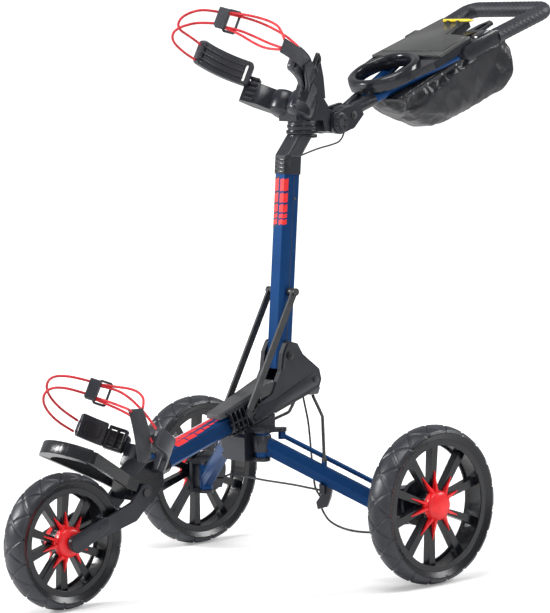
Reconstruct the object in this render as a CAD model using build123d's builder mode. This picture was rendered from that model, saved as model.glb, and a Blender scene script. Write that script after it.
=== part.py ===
from build123d import *
from math import cos, sin, tan, radians, degrees, atan2, hypot
import os

# Three-wheel folding push cart. The cart rolls toward -Y, +Z is up and +X is its left side.
# Places are measured from the rear axle line and from the floor; rear_y puts the middle of the
# cart's length over the origin.

# Wheels
rear_radius = 146.0
rear_width = 56.0
track = 646.0
front_radius = 122.0
front_width = 54.0
wheelbase = 599.0
tyre_depth = 25.0
rim_wall = 7.0
rim_lip = 4.0
hub_radius = 27.0
spoke_count = 5
spoke_spread = 17.0
spoke_phase = 33.0
spoke_width = 13.0
spoke_depth = 16.0
axle_radius = 6.0
running_gap = 0.05
side_gap = 0.5

# Front tube, mast and their shared tube section
tube_size = 38.0
tube_chamfer = 7.0
tube_wall = 2.5
spine_y = -72.0
spine_z = 330.5
spine_pitch = 16.9
spine_rear = 58.0
spine_front = -345.0
pivot_y = -71.0
pivot_z = 404.0
mast_lean = 5.1
mast_foot = -26.0
mast_length = 372.0
pin_radius = 5.0
bolt_head = 7.0
ear_plate = 10.0

# Link bars between the mast and the hub
bar_rise = 119.0
bar_length = 249.0
bar_angle = 29.4
bar_width = 13.0
bar_plate = 4.5
bar_bolt = 4.0

# Rear legs, their parallel rods and the wheel carriers
leg_x = 45.0
leg_y = -160.0
leg_z = 251.0
leg_reach = 240.0
leg_heading = 30.4
leg_drop = 115.0
leg_height = 34.0
leg_depth = 24.0
leg_eye = 13.0
leg_pin = 5.0
rod_offset = 40.0
rod_bearing = 70.0
rod_z = 263.0
rod_radius = 4.5
rod_eye = 7.0
rod_pin = 3.0
lug_plate = 7.0
lug_gap = 0.3

# Wire struts from the hub to the legs
strut_radius = 3.0
strut_along = 118.7
strut_foot_z = 222.0
strut_top = (20.0, -6.0, 322.0)
strut_seat = 26.0
strut_bend = (46.0, -6.0, 284.0)

# Front block, fork and front wheel pivot
fork_pin_y = -437.0
fork_pin_z = 192.0
fork_inner = 31.0
fork_plate = 7.0
fork_arm = 15.0
fork_tie = 5.0
block_half = 28.0

# Bag cradles: the bag's axis leans forward at its foot
bag_lean = 28.0
bag_axis_y = -512.7
bag_axis_z = 272.5
cradle_radius = 111.0
pad_thick = 12.0
upper_pad_low = 763.0
upper_pad_high = 811.0
lower_pad_low = 30.0
lower_pad_high = 64.0
lip_radius = 98.0
lip_thick = 6.0
lip_low = -42.0
lip_high = -18.0
cord_radius = 2.1
arm_low = 737.0
arm_high = 778.0
strap_thick = 2.5
buckle_high = 38.0
buckle_long = 21.0
buckle_deep = 14.0
cable_radius = 1.6

# Mast collar, neck and head
collar_length = 35.0
collar_size = 42.0
neck_base = 34.0
neck_top = 818.0
ring_radius = 26.5
ring_top = 838.0
head_half = 24.0

# Handle
hinge_y = 70.0
hinge_z = 831.0
handle_pitch = 23.4
handle_half = 104.0
handle_reach = 541.0
handle_drop = 12.0
handle_tube_radius = 10.0
grip_radius = 14.0
disc_radius = 21.0
tongue_half = 19.0
cheek_inner = 20.0
cheek_outer = 30.0
handle_wall = 1.5
grip_start = 394.0

# Console
console_low = 10.1
console_high = 30.0
console_wall = 3.0
cup_v = 172.0
cup_radius = 72.0
cup_bore = 56.0
cup_high = 32.0
lid_low = 25.4
lid_front = 236.0
lid_rear = 408.0
pencil_v = 386.0
pencil_h = 34.4
pencil_radius = 3.2
lever_low = 14.5
lever_high = 20.5
lever_pin = 4.0

collar_foot = mast_length - collar_length
reach_back = hinge_y + handle_reach * cos(radians(handle_pitch)) + grip_radius
reach_back += handle_drop * sin(radians(handle_pitch))
rear_y = (wheelbase + front_radius - reach_back) / 2
front_y = rear_y - wheelbase

os.makedirs("parts", exist_ok=True)


def save(piece, name):
    piece.part.label = name
    export_step(piece.part, f"parts/{name}.step")


def spot(x, y, z):
    return (x, rear_y + y, z)


def side_plane(x):
    return Plane(origin=spot(x, 0, 0), x_dir=(0, 1, 0), z_dir=(1, 0, 0))


def floor_plane(z):
    return Plane(origin=spot(0, 0, z), x_dir=(1, 0, 0), z_dir=(0, 0, 1))


def turned(angle):
    return (0, cos(radians(angle)), sin(radians(angle)))


def spine_side(x):
    return Plane(origin=spot(x, spine_y, spine_z), x_dir=turned(spine_pitch), z_dir=(1, 0, 0))


def spine_cross(along):
    base = Plane(origin=spot(0, spine_y, spine_z), x_dir=(1, 0, 0), z_dir=turned(spine_pitch))
    return base.offset(along)


def mast_cross(along):
    base = Plane(origin=spot(0, pivot_y, pivot_z), x_dir=(1, 0, 0), z_dir=turned(90 - mast_lean))
    return base.offset(along)


def mast_side(x):
    return Plane(origin=spot(x, pivot_y, pivot_z), x_dir=turned(-mast_lean), z_dir=(1, 0, 0))


def bag_plane(along):
    base = Plane(origin=spot(0, bag_axis_y, bag_axis_z), x_dir=(1, 0, 0), z_dir=turned(90 - bag_lean))
    return base.offset(along)


def handle_plane(height):
    base = Plane(origin=spot(0, hinge_y, hinge_z), x_dir=(1, 0, 0), z_dir=turned(90 + handle_pitch))
    return base.offset(height)


def handle_side(x):
    return Plane(origin=spot(x, hinge_y, hinge_z), x_dir=turned(handle_pitch), z_dir=(1, 0, 0))


def bag_spot(x, y, along):
    down, up = sin(radians(bag_lean)), cos(radians(bag_lean))
    return spot(x, bag_axis_y + along * down + y * up, bag_axis_z + along * up - y * down)


def ring_sector(inner, outer, start, finish):
    """Part of a ring on the bag's axis, between two angles measured from the mast side."""
    angles = [radians(start), radians((start + finish) / 2), radians(finish)]
    near = [(inner * sin(a), inner * cos(a)) for a in angles]
    far = [(outer * sin(a), outer * cos(a)) for a in angles]
    make_face([
        Edge.make_three_point_arc(*near),
        Edge.make_line(near[2], far[2]),
        Edge.make_three_point_arc(*reversed(far)),
        Edge.make_line(far[0], near[0]),
    ])


def lay(name, places, radius):
    """Sweep a round cord along straight runs joined by tangent arcs."""
    places = [Vector(*place) for place in places]
    bends = []
    for before, corner, after in zip(places, places[1:], places[2:]):
        turn = (corner - before).get_angle(after - corner)
        run = min((corner - before).length, (after - corner).length)
        bends.append(0.45 * run / tan(radians(turn / 2)))
    with BuildLine() as route:
        FilletPolyline(*places, radius=bends)
    with BuildSketch(Plane(origin=places[0], z_dir=places[1] - places[0])) as section:
        Circle(radius)
    sweep(sections=section.sketch, path=route.line)
    length = sum(edge.length for edge in route.edges())
    print(f"{name}: length {length:.0f}, smallest bend radius {min(bends):.1f}")


def tube_section(size, chamfer_size):
    half = size / 2
    cut = half - chamfer_size
    Polygon(
        (-cut, -half), (cut, -half), (half, -cut), (half, cut),
        (cut, half), (-cut, half), (-half, cut), (-half, -cut), align=None,
    )


# ---------------------------------------------------------------- wheels
def make_wheel(tag, x, y, radius, width, side):
    centre = spot(x, y, radius)
    across = Plane(origin=centre, x_dir=(1, 0, 0), z_dir=(0, 0, 1))
    facing = Plane(origin=centre, x_dir=(0, 1, 0), z_dir=(1, 0, 0))
    spin = Axis(centre, (1, 0, 0))
    bead = radius - tyre_depth
    bead_half = 0.38 * width
    half = width / 2
    shoulder = radius - 0.3 * tyre_depth
    with BuildPart() as tyre:
        with BuildSketch(across):
            with BuildLine():
                Polyline((half - 3, shoulder), (half, bead + 0.45 * tyre_depth), (bead_half, bead))
                Polyline((bead_half, bead), (-bead_half, bead), (-half, bead + 0.45 * tyre_depth))
                Line((-half, bead + 0.45 * tyre_depth), (3 - half, shoulder))
                ThreePointArc((3 - half, shoulder), (0, radius), (half - 3, shoulder))
            make_face()
        revolve(axis=spin, revolution_arc=360)
    save(tyre, f"{tag}_tyre")

    inner = bead - rim_wall
    hub_half = half - 3
    bore = axle_radius + running_gap
    with BuildPart() as rim:
        with BuildSketch(across):
            with BuildLine():
                Polyline(
                    (-bead_half, bead), (bead_half, bead), (bead_half, inner - rim_lip),
                    (bead_half - 4, inner - rim_lip), (bead_half - 7, inner), (7 - bead_half, inner),
                    (4 - bead_half, inner - rim_lip), (-bead_half, inner - rim_lip), close=True,
                )
            make_face()
        revolve(axis=spin, revolution_arc=360)
        with BuildSketch(facing):
            Circle(0.8 * hub_radius)
        extrude(amount=hub_half, both=True)
        with BuildSketch(facing):
            with PolarLocations(0, spoke_count, start_angle=spoke_phase):
                for turn in (-spoke_spread, spoke_spread):
                    tip = (inner * cos(radians(turn)), inner * sin(radians(turn)))
                    span = hypot(tip[0] - hub_radius * 0.5, tip[1])
                    lean = degrees(atan2(tip[1], tip[0] - hub_radius * 0.5))
                    with Locations(Location((hub_radius * 0.5, 0, 0), (0, 0, lean))):
                        Polygon(
                            (0, -0.4 * spoke_width), (span + 2, -0.6 * spoke_width),
                            (span + 2, 0.6 * spoke_width), (0, 0.4 * spoke_width), align=None,
                        )
        extrude(amount=spoke_depth / 2, both=True)
        for face_side in ((-1, 1) if side == 0 else (side,)):
            with BuildSketch(across):
                with BuildLine():
                    Polyline(
                        (0, 0), (0, hub_radius), (face_side * (hub_half - 9), hub_radius),
                        (face_side * (hub_half - 4), 0.8 * hub_radius),
                        (face_side * (hub_half - 1), 0.45 * hub_radius),
                        (face_side * hub_half, 0), close=True,
                    )
                make_face()
            revolve(axis=spin, revolution_arc=360)
        with BuildSketch(facing.offset(-(side or 1) * hub_half)):
            Circle(bore)
        depth = 2 * hub_half if side == 0 else 2 * hub_half - 6
        extrude(amount=(side or 1) * depth, mode=Mode.SUBTRACT)
    save(rim, f"{tag}_rim")


make_wheel("front", 0, -wheelbase, front_radius, front_width, 0)
make_wheel("rear_left", track / 2, 0, rear_radius, rear_width, 1)
make_wheel("rear_right", -track / 2, 0, rear_radius, rear_width, -1)

# ---------------------------------------------------------------- front tube and hub
with BuildPart() as front_tube:
    with BuildSketch(spine_cross(spine_front)):
        tube_section(tube_size, tube_chamfer)
    extrude(amount=spine_rear - spine_front)
    with BuildSketch(spine_cross(spine_front)):
        tube_section(tube_size - 2 * tube_wall, tube_chamfer - 1)
    extrude(amount=spine_rear - spine_front, mode=Mode.SUBTRACT)
save(front_tube, "front_tube")

tube_half = tube_size / 2
ear_inner = tube_half + side_gap
ear_outer = ear_inner + ear_plate
hub_floor = -tube_half - 3
pivot = Axis(spot(0, pivot_y, pivot_z), (1, 0, 0))

# Hub housing: two side cheeks with the mast ears, and a hump behind the mast
with BuildPart() as hub_housing:
    with BuildSketch(side_plane(ear_inner)):
        Polygon(
            (-95, 376), (-90, 410), (-80, 428), (-74, 432), (-51, 425), (-38, 404), (4, 372),
            (9, 352), (3, 337), (-108, 303), (-168, 284), (-178, 300), (-150, 322), (-118, 336),
            align=None,
        )
    extrude(amount=ear_plate)
    mirror(about=Plane.YZ)
    with BuildSketch(side_plane(-ear_inner)):
        Polygon((-30, 398), (4, 372), (9, 352), (-10, 347), (-20, 372), align=None)
    extrude(amount=2 * ear_inner)
    with BuildSketch(spine_cross(spine_rear - 60)):
        Rectangle(tube_size, tube_size)
    extrude(amount=60, mode=Mode.SUBTRACT)
    with BuildSketch(side_plane(-ear_outer - 1)):
        with Locations((pivot_y, pivot_z)):
            Circle(pin_radius + running_gap)
    extrude(amount=2 * ear_outer + 2, mode=Mode.SUBTRACT)
    fillet(hub_housing.edges().filter_by(Axis.X).filter_by(GeomType.LINE).sort_by(Axis.Z)[-2:], 3)
save(hub_housing, "hub_housing")

# Light rail below the hub and light cover above the front tube
with BuildPart() as hub_rail:
    with BuildSketch(spine_side(-ear_inner)):
        Polygon((spine_rear, hub_floor), (spine_rear + 20, hub_floor + 8), (spine_rear + 20, -2),
                (spine_rear, -2), (spine_rear, -tube_half), (-32, -tube_half), (-36, hub_floor - 1),
                align=None)
    extrude(amount=2 * ear_inner)
    with BuildSketch(side_plane(-strut_seat)):
        Polygon((-17, strut_top[2] + 2), (3, strut_top[2] + 2), (9, 336), (-8, 336), (-22, 326),
                align=None)
    extrude(amount=2 * strut_seat)
    with BuildSketch(spine_cross(-40)):
        tube_section(tube_size, tube_chamfer)
    extrude(amount=spine_rear + 40, mode=Mode.SUBTRACT)
    add(hub_housing.part, mode=Mode.SUBTRACT)
save(hub_rail, "hub_rail")

with BuildPart() as hub_cover:
    with BuildSketch(spine_cross(-28)):
        with BuildLine():
            Polyline((-ear_outer + 2, -tube_half), (-ear_outer + 6, -41), (ear_outer - 6, -41),
                     (ear_outer - 2, -tube_half), close=True)
        make_face()
    with BuildSketch(spine_cross(-168)):
        with BuildLine():
            Polyline((-tube_half, -tube_half), (3 - tube_half, -29), (tube_half - 3, -29),
                     (tube_half, -tube_half), close=True)
        make_face()
    loft()
    add(hub_housing.part, mode=Mode.SUBTRACT)
save(hub_cover, "hub_cover")

with BuildPart() as mast_pin:
    with BuildSketch(side_plane(-ear_outer - 4)):
        with Locations((pivot_y, pivot_z)):
            Circle(bolt_head)
    extrude(amount=4)
    with BuildSketch(side_plane(-ear_outer)):
        with Locations((pivot_y, pivot_z)):
            Circle(pin_radius)
    extrude(amount=2 * ear_outer)
    with BuildSketch(side_plane(ear_outer)):
        with Locations((pivot_y, pivot_z)):
            Circle(bolt_head)
    extrude(amount=4)
save(mast_pin, "mast_pin")

# ---------------------------------------------------------------- leg yoke, legs, rods, carriers
heading = radians(leg_heading)
slope = leg_drop / leg_reach
rod_dx = rod_offset * cos(radians(rod_bearing))
rod_dy = rod_offset * sin(radians(rod_bearing))
end_x = leg_x + leg_reach * cos(heading)
end_y = leg_y + leg_reach * sin(heading)
end_z = leg_z - leg_drop
inner_top = leg_z + leg_height / 2 + 2
inner_low = leg_z - leg_height / 2 - 9
outer_top = end_z + leg_height / 2 + 15
outer_low = end_z - leg_height / 2
rod_end_z = rod_z - leg_drop
web_x = end_x + rod_dx + rod_eye + 3
drum_x = track / 2 - rear_width / 2 - 11

with BuildPart() as leg_yoke:
    with BuildSketch(side_plane(-ear_outer)):
        Polygon((-190, 218), (-136, 214), (-128, 262), (-112, 270), (-112, 300), (-168, 283),
                (-182, 279), (-190, 262), align=None)
    extrude(amount=2 * ear_outer)
    with BuildSketch(spine_cross(-160)):
        tube_section(tube_size, tube_chamfer)
    extrude(amount=140, mode=Mode.SUBTRACT)
    for side in (-1, 1):
        for low in (inner_low - lug_gap - lug_plate, inner_top + lug_gap):
            with BuildSketch(floor_plane(low)):
                with Locations((side * leg_x, leg_y)):
                    Circle(leg_eye + 2)
                with BuildLine():
                    Polyline((side * 20, leg_y - 15), (side * leg_x, leg_y - 15),
                             (side * leg_x, leg_y + 15), (side * 20, leg_y + 15), close=True)
                make_face()
            extrude(amount=lug_plate)
        with BuildSketch(floor_plane(inner_top + lug_gap)):
            with Locations((side * (leg_x + rod_dx), leg_y + rod_dy)):
                Circle(rod_eye + 2)
            with BuildLine():
                Polyline((side * (leg_x + 8), leg_y - 6), (side * (leg_x + rod_dx + 8.5), leg_y + rod_dy),
                         (side * (leg_x + rod_dx - 8.5), leg_y + rod_dy + 2), (side * 24, leg_y + 28),
                         (side * 24, leg_y), close=True)
            make_face()
        extrude(amount=lug_plate)
    with BuildSketch(floor_plane(inner_low)):
        with Locations(*[(side * leg_x, leg_y) for side in (-1, 1)]):
            Circle(leg_eye + 3)
    extrude(amount=inner_top - inner_low, mode=Mode.SUBTRACT)
    with BuildSketch(floor_plane(inner_low - lug_plate - 1)):
        with Locations(*[(side * leg_x, leg_y) for side in (-1, 1)]):
            Circle(leg_pin)
        with Locations(*[(side * (leg_x + rod_dx), leg_y + rod_dy) for side in (-1, 1)]):
            Circle(rod_pin)
    extrude(amount=inner_top - inner_low + 2 * lug_plate + 4, mode=Mode.SUBTRACT)
save(leg_yoke, "leg_yoke")

with BuildPart() as hub_pins:
    for side in (-1, 1):
        with BuildSketch(floor_plane(inner_low - lug_gap - lug_plate)):
            with Locations((side * leg_x, leg_y)):
                Circle(leg_pin)
        extrude(amount=inner_top - inner_low + 2 * lug_gap + 2 * lug_plate)
        with BuildSketch(floor_plane(rod_z - rod_eye)):
            with Locations((side * (leg_x + rod_dx), leg_y + rod_dy)):
                Circle(rod_pin)
        extrude(amount=inner_top + lug_gap + lug_plate - rod_z + rod_eye)
save(hub_pins, "hub_pins")


def slanted(side, start, offset_z):
    run = Vector(side * leg_reach * cos(heading), leg_reach * sin(heading), -leg_drop)
    across = Vector(-side * sin(heading), cos(heading), 0)
    return Plane(origin=Vector(*start) + Vector(0, 0, offset_z), x_dir=across, z_dir=run), run.length


def make_leg(tag, side):
    plane, length = slanted(side, spot(side * leg_x, leg_y, leg_z), 0)
    half = leg_height / 2 * leg_reach / hypot(leg_reach, leg_drop)
    edge = leg_depth / 2
    facing = 1 if plane.y_dir.Z > 0 else -1
    with BuildPart() as leg:
        with BuildSketch(plane.offset(4)):
            Polygon(
                (edge - 5, -half), (edge, 5 - half), (edge, half - 5), (edge - 5, half),
                (5 - edge, half), (-edge, facing * 2), (5 - edge, -half), align=None,
            )
        extrude(amount=length - 8)
        for x, y, low, high in (
            (leg_x, leg_y, inner_low, inner_top),
            (end_x, end_y, outer_low, outer_top),
        ):
            with BuildSketch(floor_plane(low)):
                with Locations((side * x, y)):
                    Circle(leg_eye)
            extrude(amount=high - low)
            with BuildSketch(floor_plane(low - 20)):
                with Locations((side * x, y)):
                    Circle(leg_pin + running_gap)
            extrude(amount=high - low + 40, mode=Mode.SUBTRACT)
        foot_x = side * (leg_x + strut_along * cos(heading))
        foot_y = leg_y + strut_along * sin(heading)
        mid_z = leg_z - slope * strut_along
        with BuildSketch(floor_plane(mid_z)):
            with Locations((foot_x, foot_y)):
                Circle(5)
        extrude(amount=strut_foot_z - strut_radius - 0.3 - mid_z)
    save(leg, f"leg_{tag}")


def make_rod(tag, side):
    start = spot(side * (leg_x + rod_dx), leg_y + rod_dy, rod_z)
    plane, length = slanted(side, start, 0)
    with BuildPart() as rod:
        with BuildSketch(plane):
            Circle(rod_radius)
        extrude(amount=length)
        for x, y, low, high in (
            (leg_x + rod_dx, leg_y + rod_dy, rod_z - rod_eye, inner_top),
            (end_x + rod_dx, end_y + rod_dy, rod_end_z - rod_eye, outer_top),
        ):
            with BuildSketch(floor_plane(low)):
                with Locations((side * x, y)):
                    Circle(rod_eye)
            extrude(amount=high - low)
            with BuildSketch(floor_plane(low - 20)):
                with Locations((side * x, y)):
                    Circle(rod_pin + running_gap)
            extrude(amount=high - low + 40, mode=Mode.SUBTRACT)
    save(rod, f"leg_rod_{tag}")


def make_strut(tag, side):
    foot_x = side * (leg_x + strut_along * cos(heading))
    foot_y = leg_y + strut_along * sin(heading)
    top = spot(side * strut_top[0], *strut_top[1:])
    bend = spot(side * strut_bend[0], *strut_bend[1:])
    foot = spot(foot_x, foot_y, strut_foot_z)
    with BuildPart() as strut:
        with BuildLine() as path:
            FilletPolyline(top, bend, foot, radius=14)
        with BuildSketch(Plane(origin=top, z_dir=Vector(*bend) - Vector(*top))):
            Circle(strut_radius)
        sweep(path=path.line)
        with BuildSketch(floor_plane(strut_foot_z - strut_radius)):
            with Locations((foot_x, foot_y)):
                Circle(5)
        extrude(amount=2 * strut_radius)
    save(strut, f"leg_strut_{tag}")


def make_carrier(tag, side):
    with BuildPart() as carrier:
        for low in (outer_low - lug_gap - lug_plate, outer_top + lug_gap):
            with BuildSketch(floor_plane(low)):
                with Locations((side * end_x, end_y)):
                    Circle(leg_eye + 1)
                with BuildLine():
                    Polyline((side * end_x, end_y - 14), (side * (drum_x - 1), end_y - 14),
                             (side * (drum_x - 1), end_y + 14), (side * end_x, end_y + 14), close=True)
                make_face()
            extrude(amount=lug_plate)
        with BuildSketch(floor_plane(outer_top + lug_gap)):
            with Locations((side * (end_x + rod_dx), end_y + rod_dy)):
                Circle(rod_eye + 1)
            with BuildLine():
                Polyline((side * (end_x + 4), end_y + 6), (side * (drum_x - 1), end_y + 6),
                         (side * (drum_x - 1), end_y + rod_dy + 8), (side * (end_x + rod_dx), end_y + rod_dy + 8),
                         (side * (end_x + rod_dx - 8), end_y + rod_dy), close=True)
            make_face()
        extrude(amount=lug_plate)
        with BuildSketch(side_plane(side * web_x)):
            Polygon((end_y - 14, outer_low - 7), (24, outer_low - 7), (30, 130), (30, outer_top + 7),
                    (end_y - 14, outer_top + 7), align=None)
        extrude(amount=side * (drum_x - web_x))
        with BuildSketch(side_plane(side * (drum_x - 0.5))):
            with Locations((0, rear_radius)):
                Circle(42)
        extrude(amount=side * 9)
        with BuildSketch(side_plane(side * drum_x)):
            with Locations((0, rear_radius)):
                Circle(axle_radius)
        extrude(amount=side * (track / 2 + 14 - drum_x))
        with BuildSketch(floor_plane(outer_low - 30)):
            with Locations((side * end_x, end_y)):
                Circle(leg_pin)
        extrude(amount=outer_top - outer_low + 60, mode=Mode.SUBTRACT)
        with BuildSketch(floor_plane(outer_low - 7.3)):
            with Locations((side * end_x, end_y)):
                Circle(leg_pin)
        extrude(amount=outer_top - outer_low + 14.6)
        with BuildSketch(floor_plane(rod_end_z - rod_eye)):
            with Locations((side * (end_x + rod_dx), end_y + rod_dy)):
                Circle(rod_pin)
        extrude(amount=outer_top - rod_end_z + rod_eye + 4)
    save(carrier, f"wheel_carrier_{tag}")


for tag, side in (("left", 1), ("right", -1)):
    make_leg(tag, side)
    make_rod(tag, side)
    make_strut(tag, side)
    make_carrier(tag, side)

# ---------------------------------------------------------------- mast and link bars
with BuildPart() as mast_tube:
    with BuildSketch(mast_cross(mast_foot)):
        tube_section(tube_size, tube_chamfer)
    extrude(amount=mast_length - mast_foot)
    with BuildSketch(mast_cross(mast_foot)):
        tube_section(tube_size - 2 * tube_wall, tube_chamfer - 1)
    extrude(amount=mast_length - mast_foot, mode=Mode.SUBTRACT)
    with BuildSketch(side_plane(-tube_size)):
        with Locations((pivot_y, pivot_z)):
            Circle(pin_radius + running_gap)
    extrude(amount=2 * tube_size, mode=Mode.SUBTRACT)
    with BuildSketch(mast_side(-tube_size)):
        with Locations((0, bar_rise)):
            Circle(bar_bolt)
    extrude(amount=2 * tube_size, mode=Mode.SUBTRACT)
save(mast_tube, "mast_tube")

bar_inner = ear_outer + 1.5
bar_outer = bar_inner + bar_plate

with BuildPart() as bar_bolts:
    for side in (-1, 1):
        with BuildSketch(mast_side(side * (tube_half - tube_wall))):
            with Locations((0, bar_rise)):
                Circle(bar_bolt)
        extrude(amount=side * (bar_outer + side_gap - tube_half + tube_wall))
        with BuildSketch(mast_side(side * tube_half)):
            with Locations((0, bar_rise)):
                Circle(bar_bolt + 3)
        extrude(amount=side * (bar_inner - side_gap - tube_half))
        with BuildSketch(mast_side(side * (bar_outer + side_gap))):
            with Locations((0, bar_rise)):
                Circle(bar_bolt + 3)
        extrude(amount=side * 3)
save(bar_bolts, "bar_bolts")

bar_top_y = pivot_y + bar_rise * sin(radians(mast_lean))
bar_top_z = pivot_z + bar_rise * cos(radians(mast_lean))


def make_bar(tag, side):
    with BuildPart() as bar:
        frame = Plane(
            origin=spot(side * bar_inner, bar_top_y, bar_top_z),
            x_dir=turned(270 - bar_angle), z_dir=(1, 0, 0),
        )
        with BuildSketch(frame):
            with Locations((bar_length / 2, 0)):
                SlotCenterToCenter(bar_length, bar_width)
            Circle(bar_bolt + running_gap, mode=Mode.SUBTRACT)
        extrude(amount=side * bar_plate)
        with BuildSketch(frame.offset(side * bar_plate)):
            with Locations((bar_length, 0)):
                Circle(bar_bolt + 2)
        extrude(amount=side * 3)
    save(bar, f"link_bar_{tag}")


make_bar("left", 1)
make_bar("right", -1)

with BuildPart() as mast_collar:
    with BuildSketch(mast_cross(collar_foot)):
        tube_section(collar_size, tube_chamfer + 1)
        tube_section(tube_size, tube_chamfer)
    extrude(amount=mast_length - collar_foot)
    with BuildSketch(mast_cross(collar_foot)):
        tube_section(tube_size, tube_chamfer)
    extrude(amount=mast_length - collar_foot, mode=Mode.SUBTRACT)
save(mast_collar, "mast_collar")

# ---------------------------------------------------------------- neck, head and upper cradle
with BuildPart() as neck:
    with BuildSketch(mast_cross(mast_length)):
        RectangleRounded(neck_base + 4, neck_base + 4, 6)
    with BuildSketch(floor_plane(neck_top)):
        with Locations((0, -2)):
            RectangleRounded(neck_base + 8, neck_base + 8, 12)
    loft()
    with BuildSketch(floor_plane(neck_top)):
        with Locations((0, -2)):
            Circle(ring_radius)
    extrude(amount=ring_top - neck_top)
save(neck, "neck")

with BuildPart() as cradle_head:
    with BuildSketch(side_plane(-head_half)):
        Polygon((-38, ring_top), (-40, 862), (-20, 884), (10, 890), (30, 884), (44, 866), (50, 838),
                (46, 818), (36, 816), (30, ring_top), align=None)
    extrude(amount=2 * head_half)
    with BuildSketch(side_plane(-tongue_half)):
        with Locations((hinge_y, hinge_z)):
            Circle(disc_radius - 1)
        Polygon((40, 818), (hinge_y, hinge_z - disc_radius + 1), (hinge_y, hinge_z + disc_radius - 1),
                (40, 862), align=None)
    extrude(amount=2 * tongue_half)
    for side in (-1, 1):
        with BuildSketch(side_plane(side * tongue_half)):
            with Locations((hinge_y, hinge_z)):
                Circle(disc_radius + 1)
        extrude(amount=side * (head_half + 1 - tongue_half), mode=Mode.SUBTRACT)
    with BuildSketch(side_plane(-head_half - 1)):
        with Locations((hinge_y, hinge_z)):
            Circle(pin_radius)
    extrude(amount=2 * head_half + 2, mode=Mode.SUBTRACT)
    with BuildSketch(side_plane(head_half - 7)):
        Polygon((0, 900), (16, 935), (26, 952), (34, 918), (38, 878), (20, 884), align=None)
    extrude(amount=7)
save(cradle_head, "cradle_head")

with BuildPart() as handle_pin:
    with BuildSketch(side_plane(-cheek_outer - side_gap)):
        with Locations((hinge_y, hinge_z)):
            Circle(pin_radius)
    extrude(amount=2 * (cheek_outer + side_gap))
    for side in (-1, 1):
        with BuildSketch(side_plane(side * (cheek_outer + side_gap))):
            with Locations((hinge_y, hinge_z)):
                Circle(bolt_head)
        extrude(amount=side * 3)
save(handle_pin, "handle_pin")


def make_upper_side(tag, side, tip_angle):
    with BuildPart() as arm:
        with BuildSketch(bag_plane(arm_low)):
            Polygon(*[(side * x, y) for x, y in (
                (head_half, 184), (head_half, 146), (40, 130), (58, 104), (81, 92), (92, 101),
                (78, 128), (52, 154),
            )], align=None)
        extrude(amount=arm_high - arm_low)
        with BuildSketch(bag_plane(arm_low - 1)):
            Circle(cradle_radius + pad_thick)
        extrude(amount=arm_high - arm_low + 2, mode=Mode.SUBTRACT)
    save(arm, f"upper_arm_{tag}")
    with BuildPart() as pad:
        with BuildSketch(bag_plane(upper_pad_low)):
            ring_sector(cradle_radius, cradle_radius + pad_thick, side * 38, side * tip_angle)
        extrude(amount=upper_pad_high - upper_pad_low)
        for angle in (44, tip_angle - 5):
            with BuildSketch(bag_plane((upper_pad_low + upper_pad_high) / 2 - 17)):
                ring_sector(cradle_radius - 2, cradle_radius + pad_thick + 2,
                            side * (angle - 1.2), side * (angle + 1.2))
            extrude(amount=34, mode=Mode.SUBTRACT)
    save(pad, f"upper_pad_{tag}")


make_upper_side("left", 1, 84)
make_upper_side("right", -1, 96)

strap_skin = cradle_radius + pad_thick + 0.2
with BuildPart() as upper_strap:
    with BuildSketch(bag_plane(778)):
        ring_sector(strap_skin, strap_skin + strap_thick, 46, 101)
    extrude(amount=28)
save(upper_strap, "upper_strap")


def make_buckle(name, x, y, low, heading_angle):
    """Cord lock with a wire frame on one face, turned to follow the cord."""
    angle = radians(heading_angle)
    reach = buckle_long / 2 + 7
    inset = buckle_deep / 2 - 3
    centre = (x + reach * cos(angle) - inset * sin(angle), y + reach * sin(angle) + inset * cos(angle))
    origin = Vector(*bag_spot(0, 0, 0))
    sideways = Vector(*bag_spot(cos(angle), sin(angle), 0)) - origin
    normal = Vector(*bag_spot(-sin(angle), cos(angle), 0)) - origin
    frame_middle = bag_spot(*centre, low + buckle_high / 2)
    with BuildPart() as buckle:
        with BuildSketch(bag_plane(low)):
            with Locations(Location((x, y, 0), (0, 0, heading_angle))):
                Rectangle(buckle_long, buckle_deep)
        extrude(amount=buckle_high)
        chamfer(buckle.edges().filter_by(GeomType.LINE), 1.5)
        with BuildSketch(Plane(origin=frame_middle, x_dir=sideways, z_dir=normal)):
            RectangleRounded(26, buckle_high + 8, 5)
            RectangleRounded(18, buckle_high, 2, mode=Mode.SUBTRACT)
        extrude(amount=4)
    save(buckle, f"{name}_buckle")


make_buckle("upper", -34, -50, 815, 34)

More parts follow.
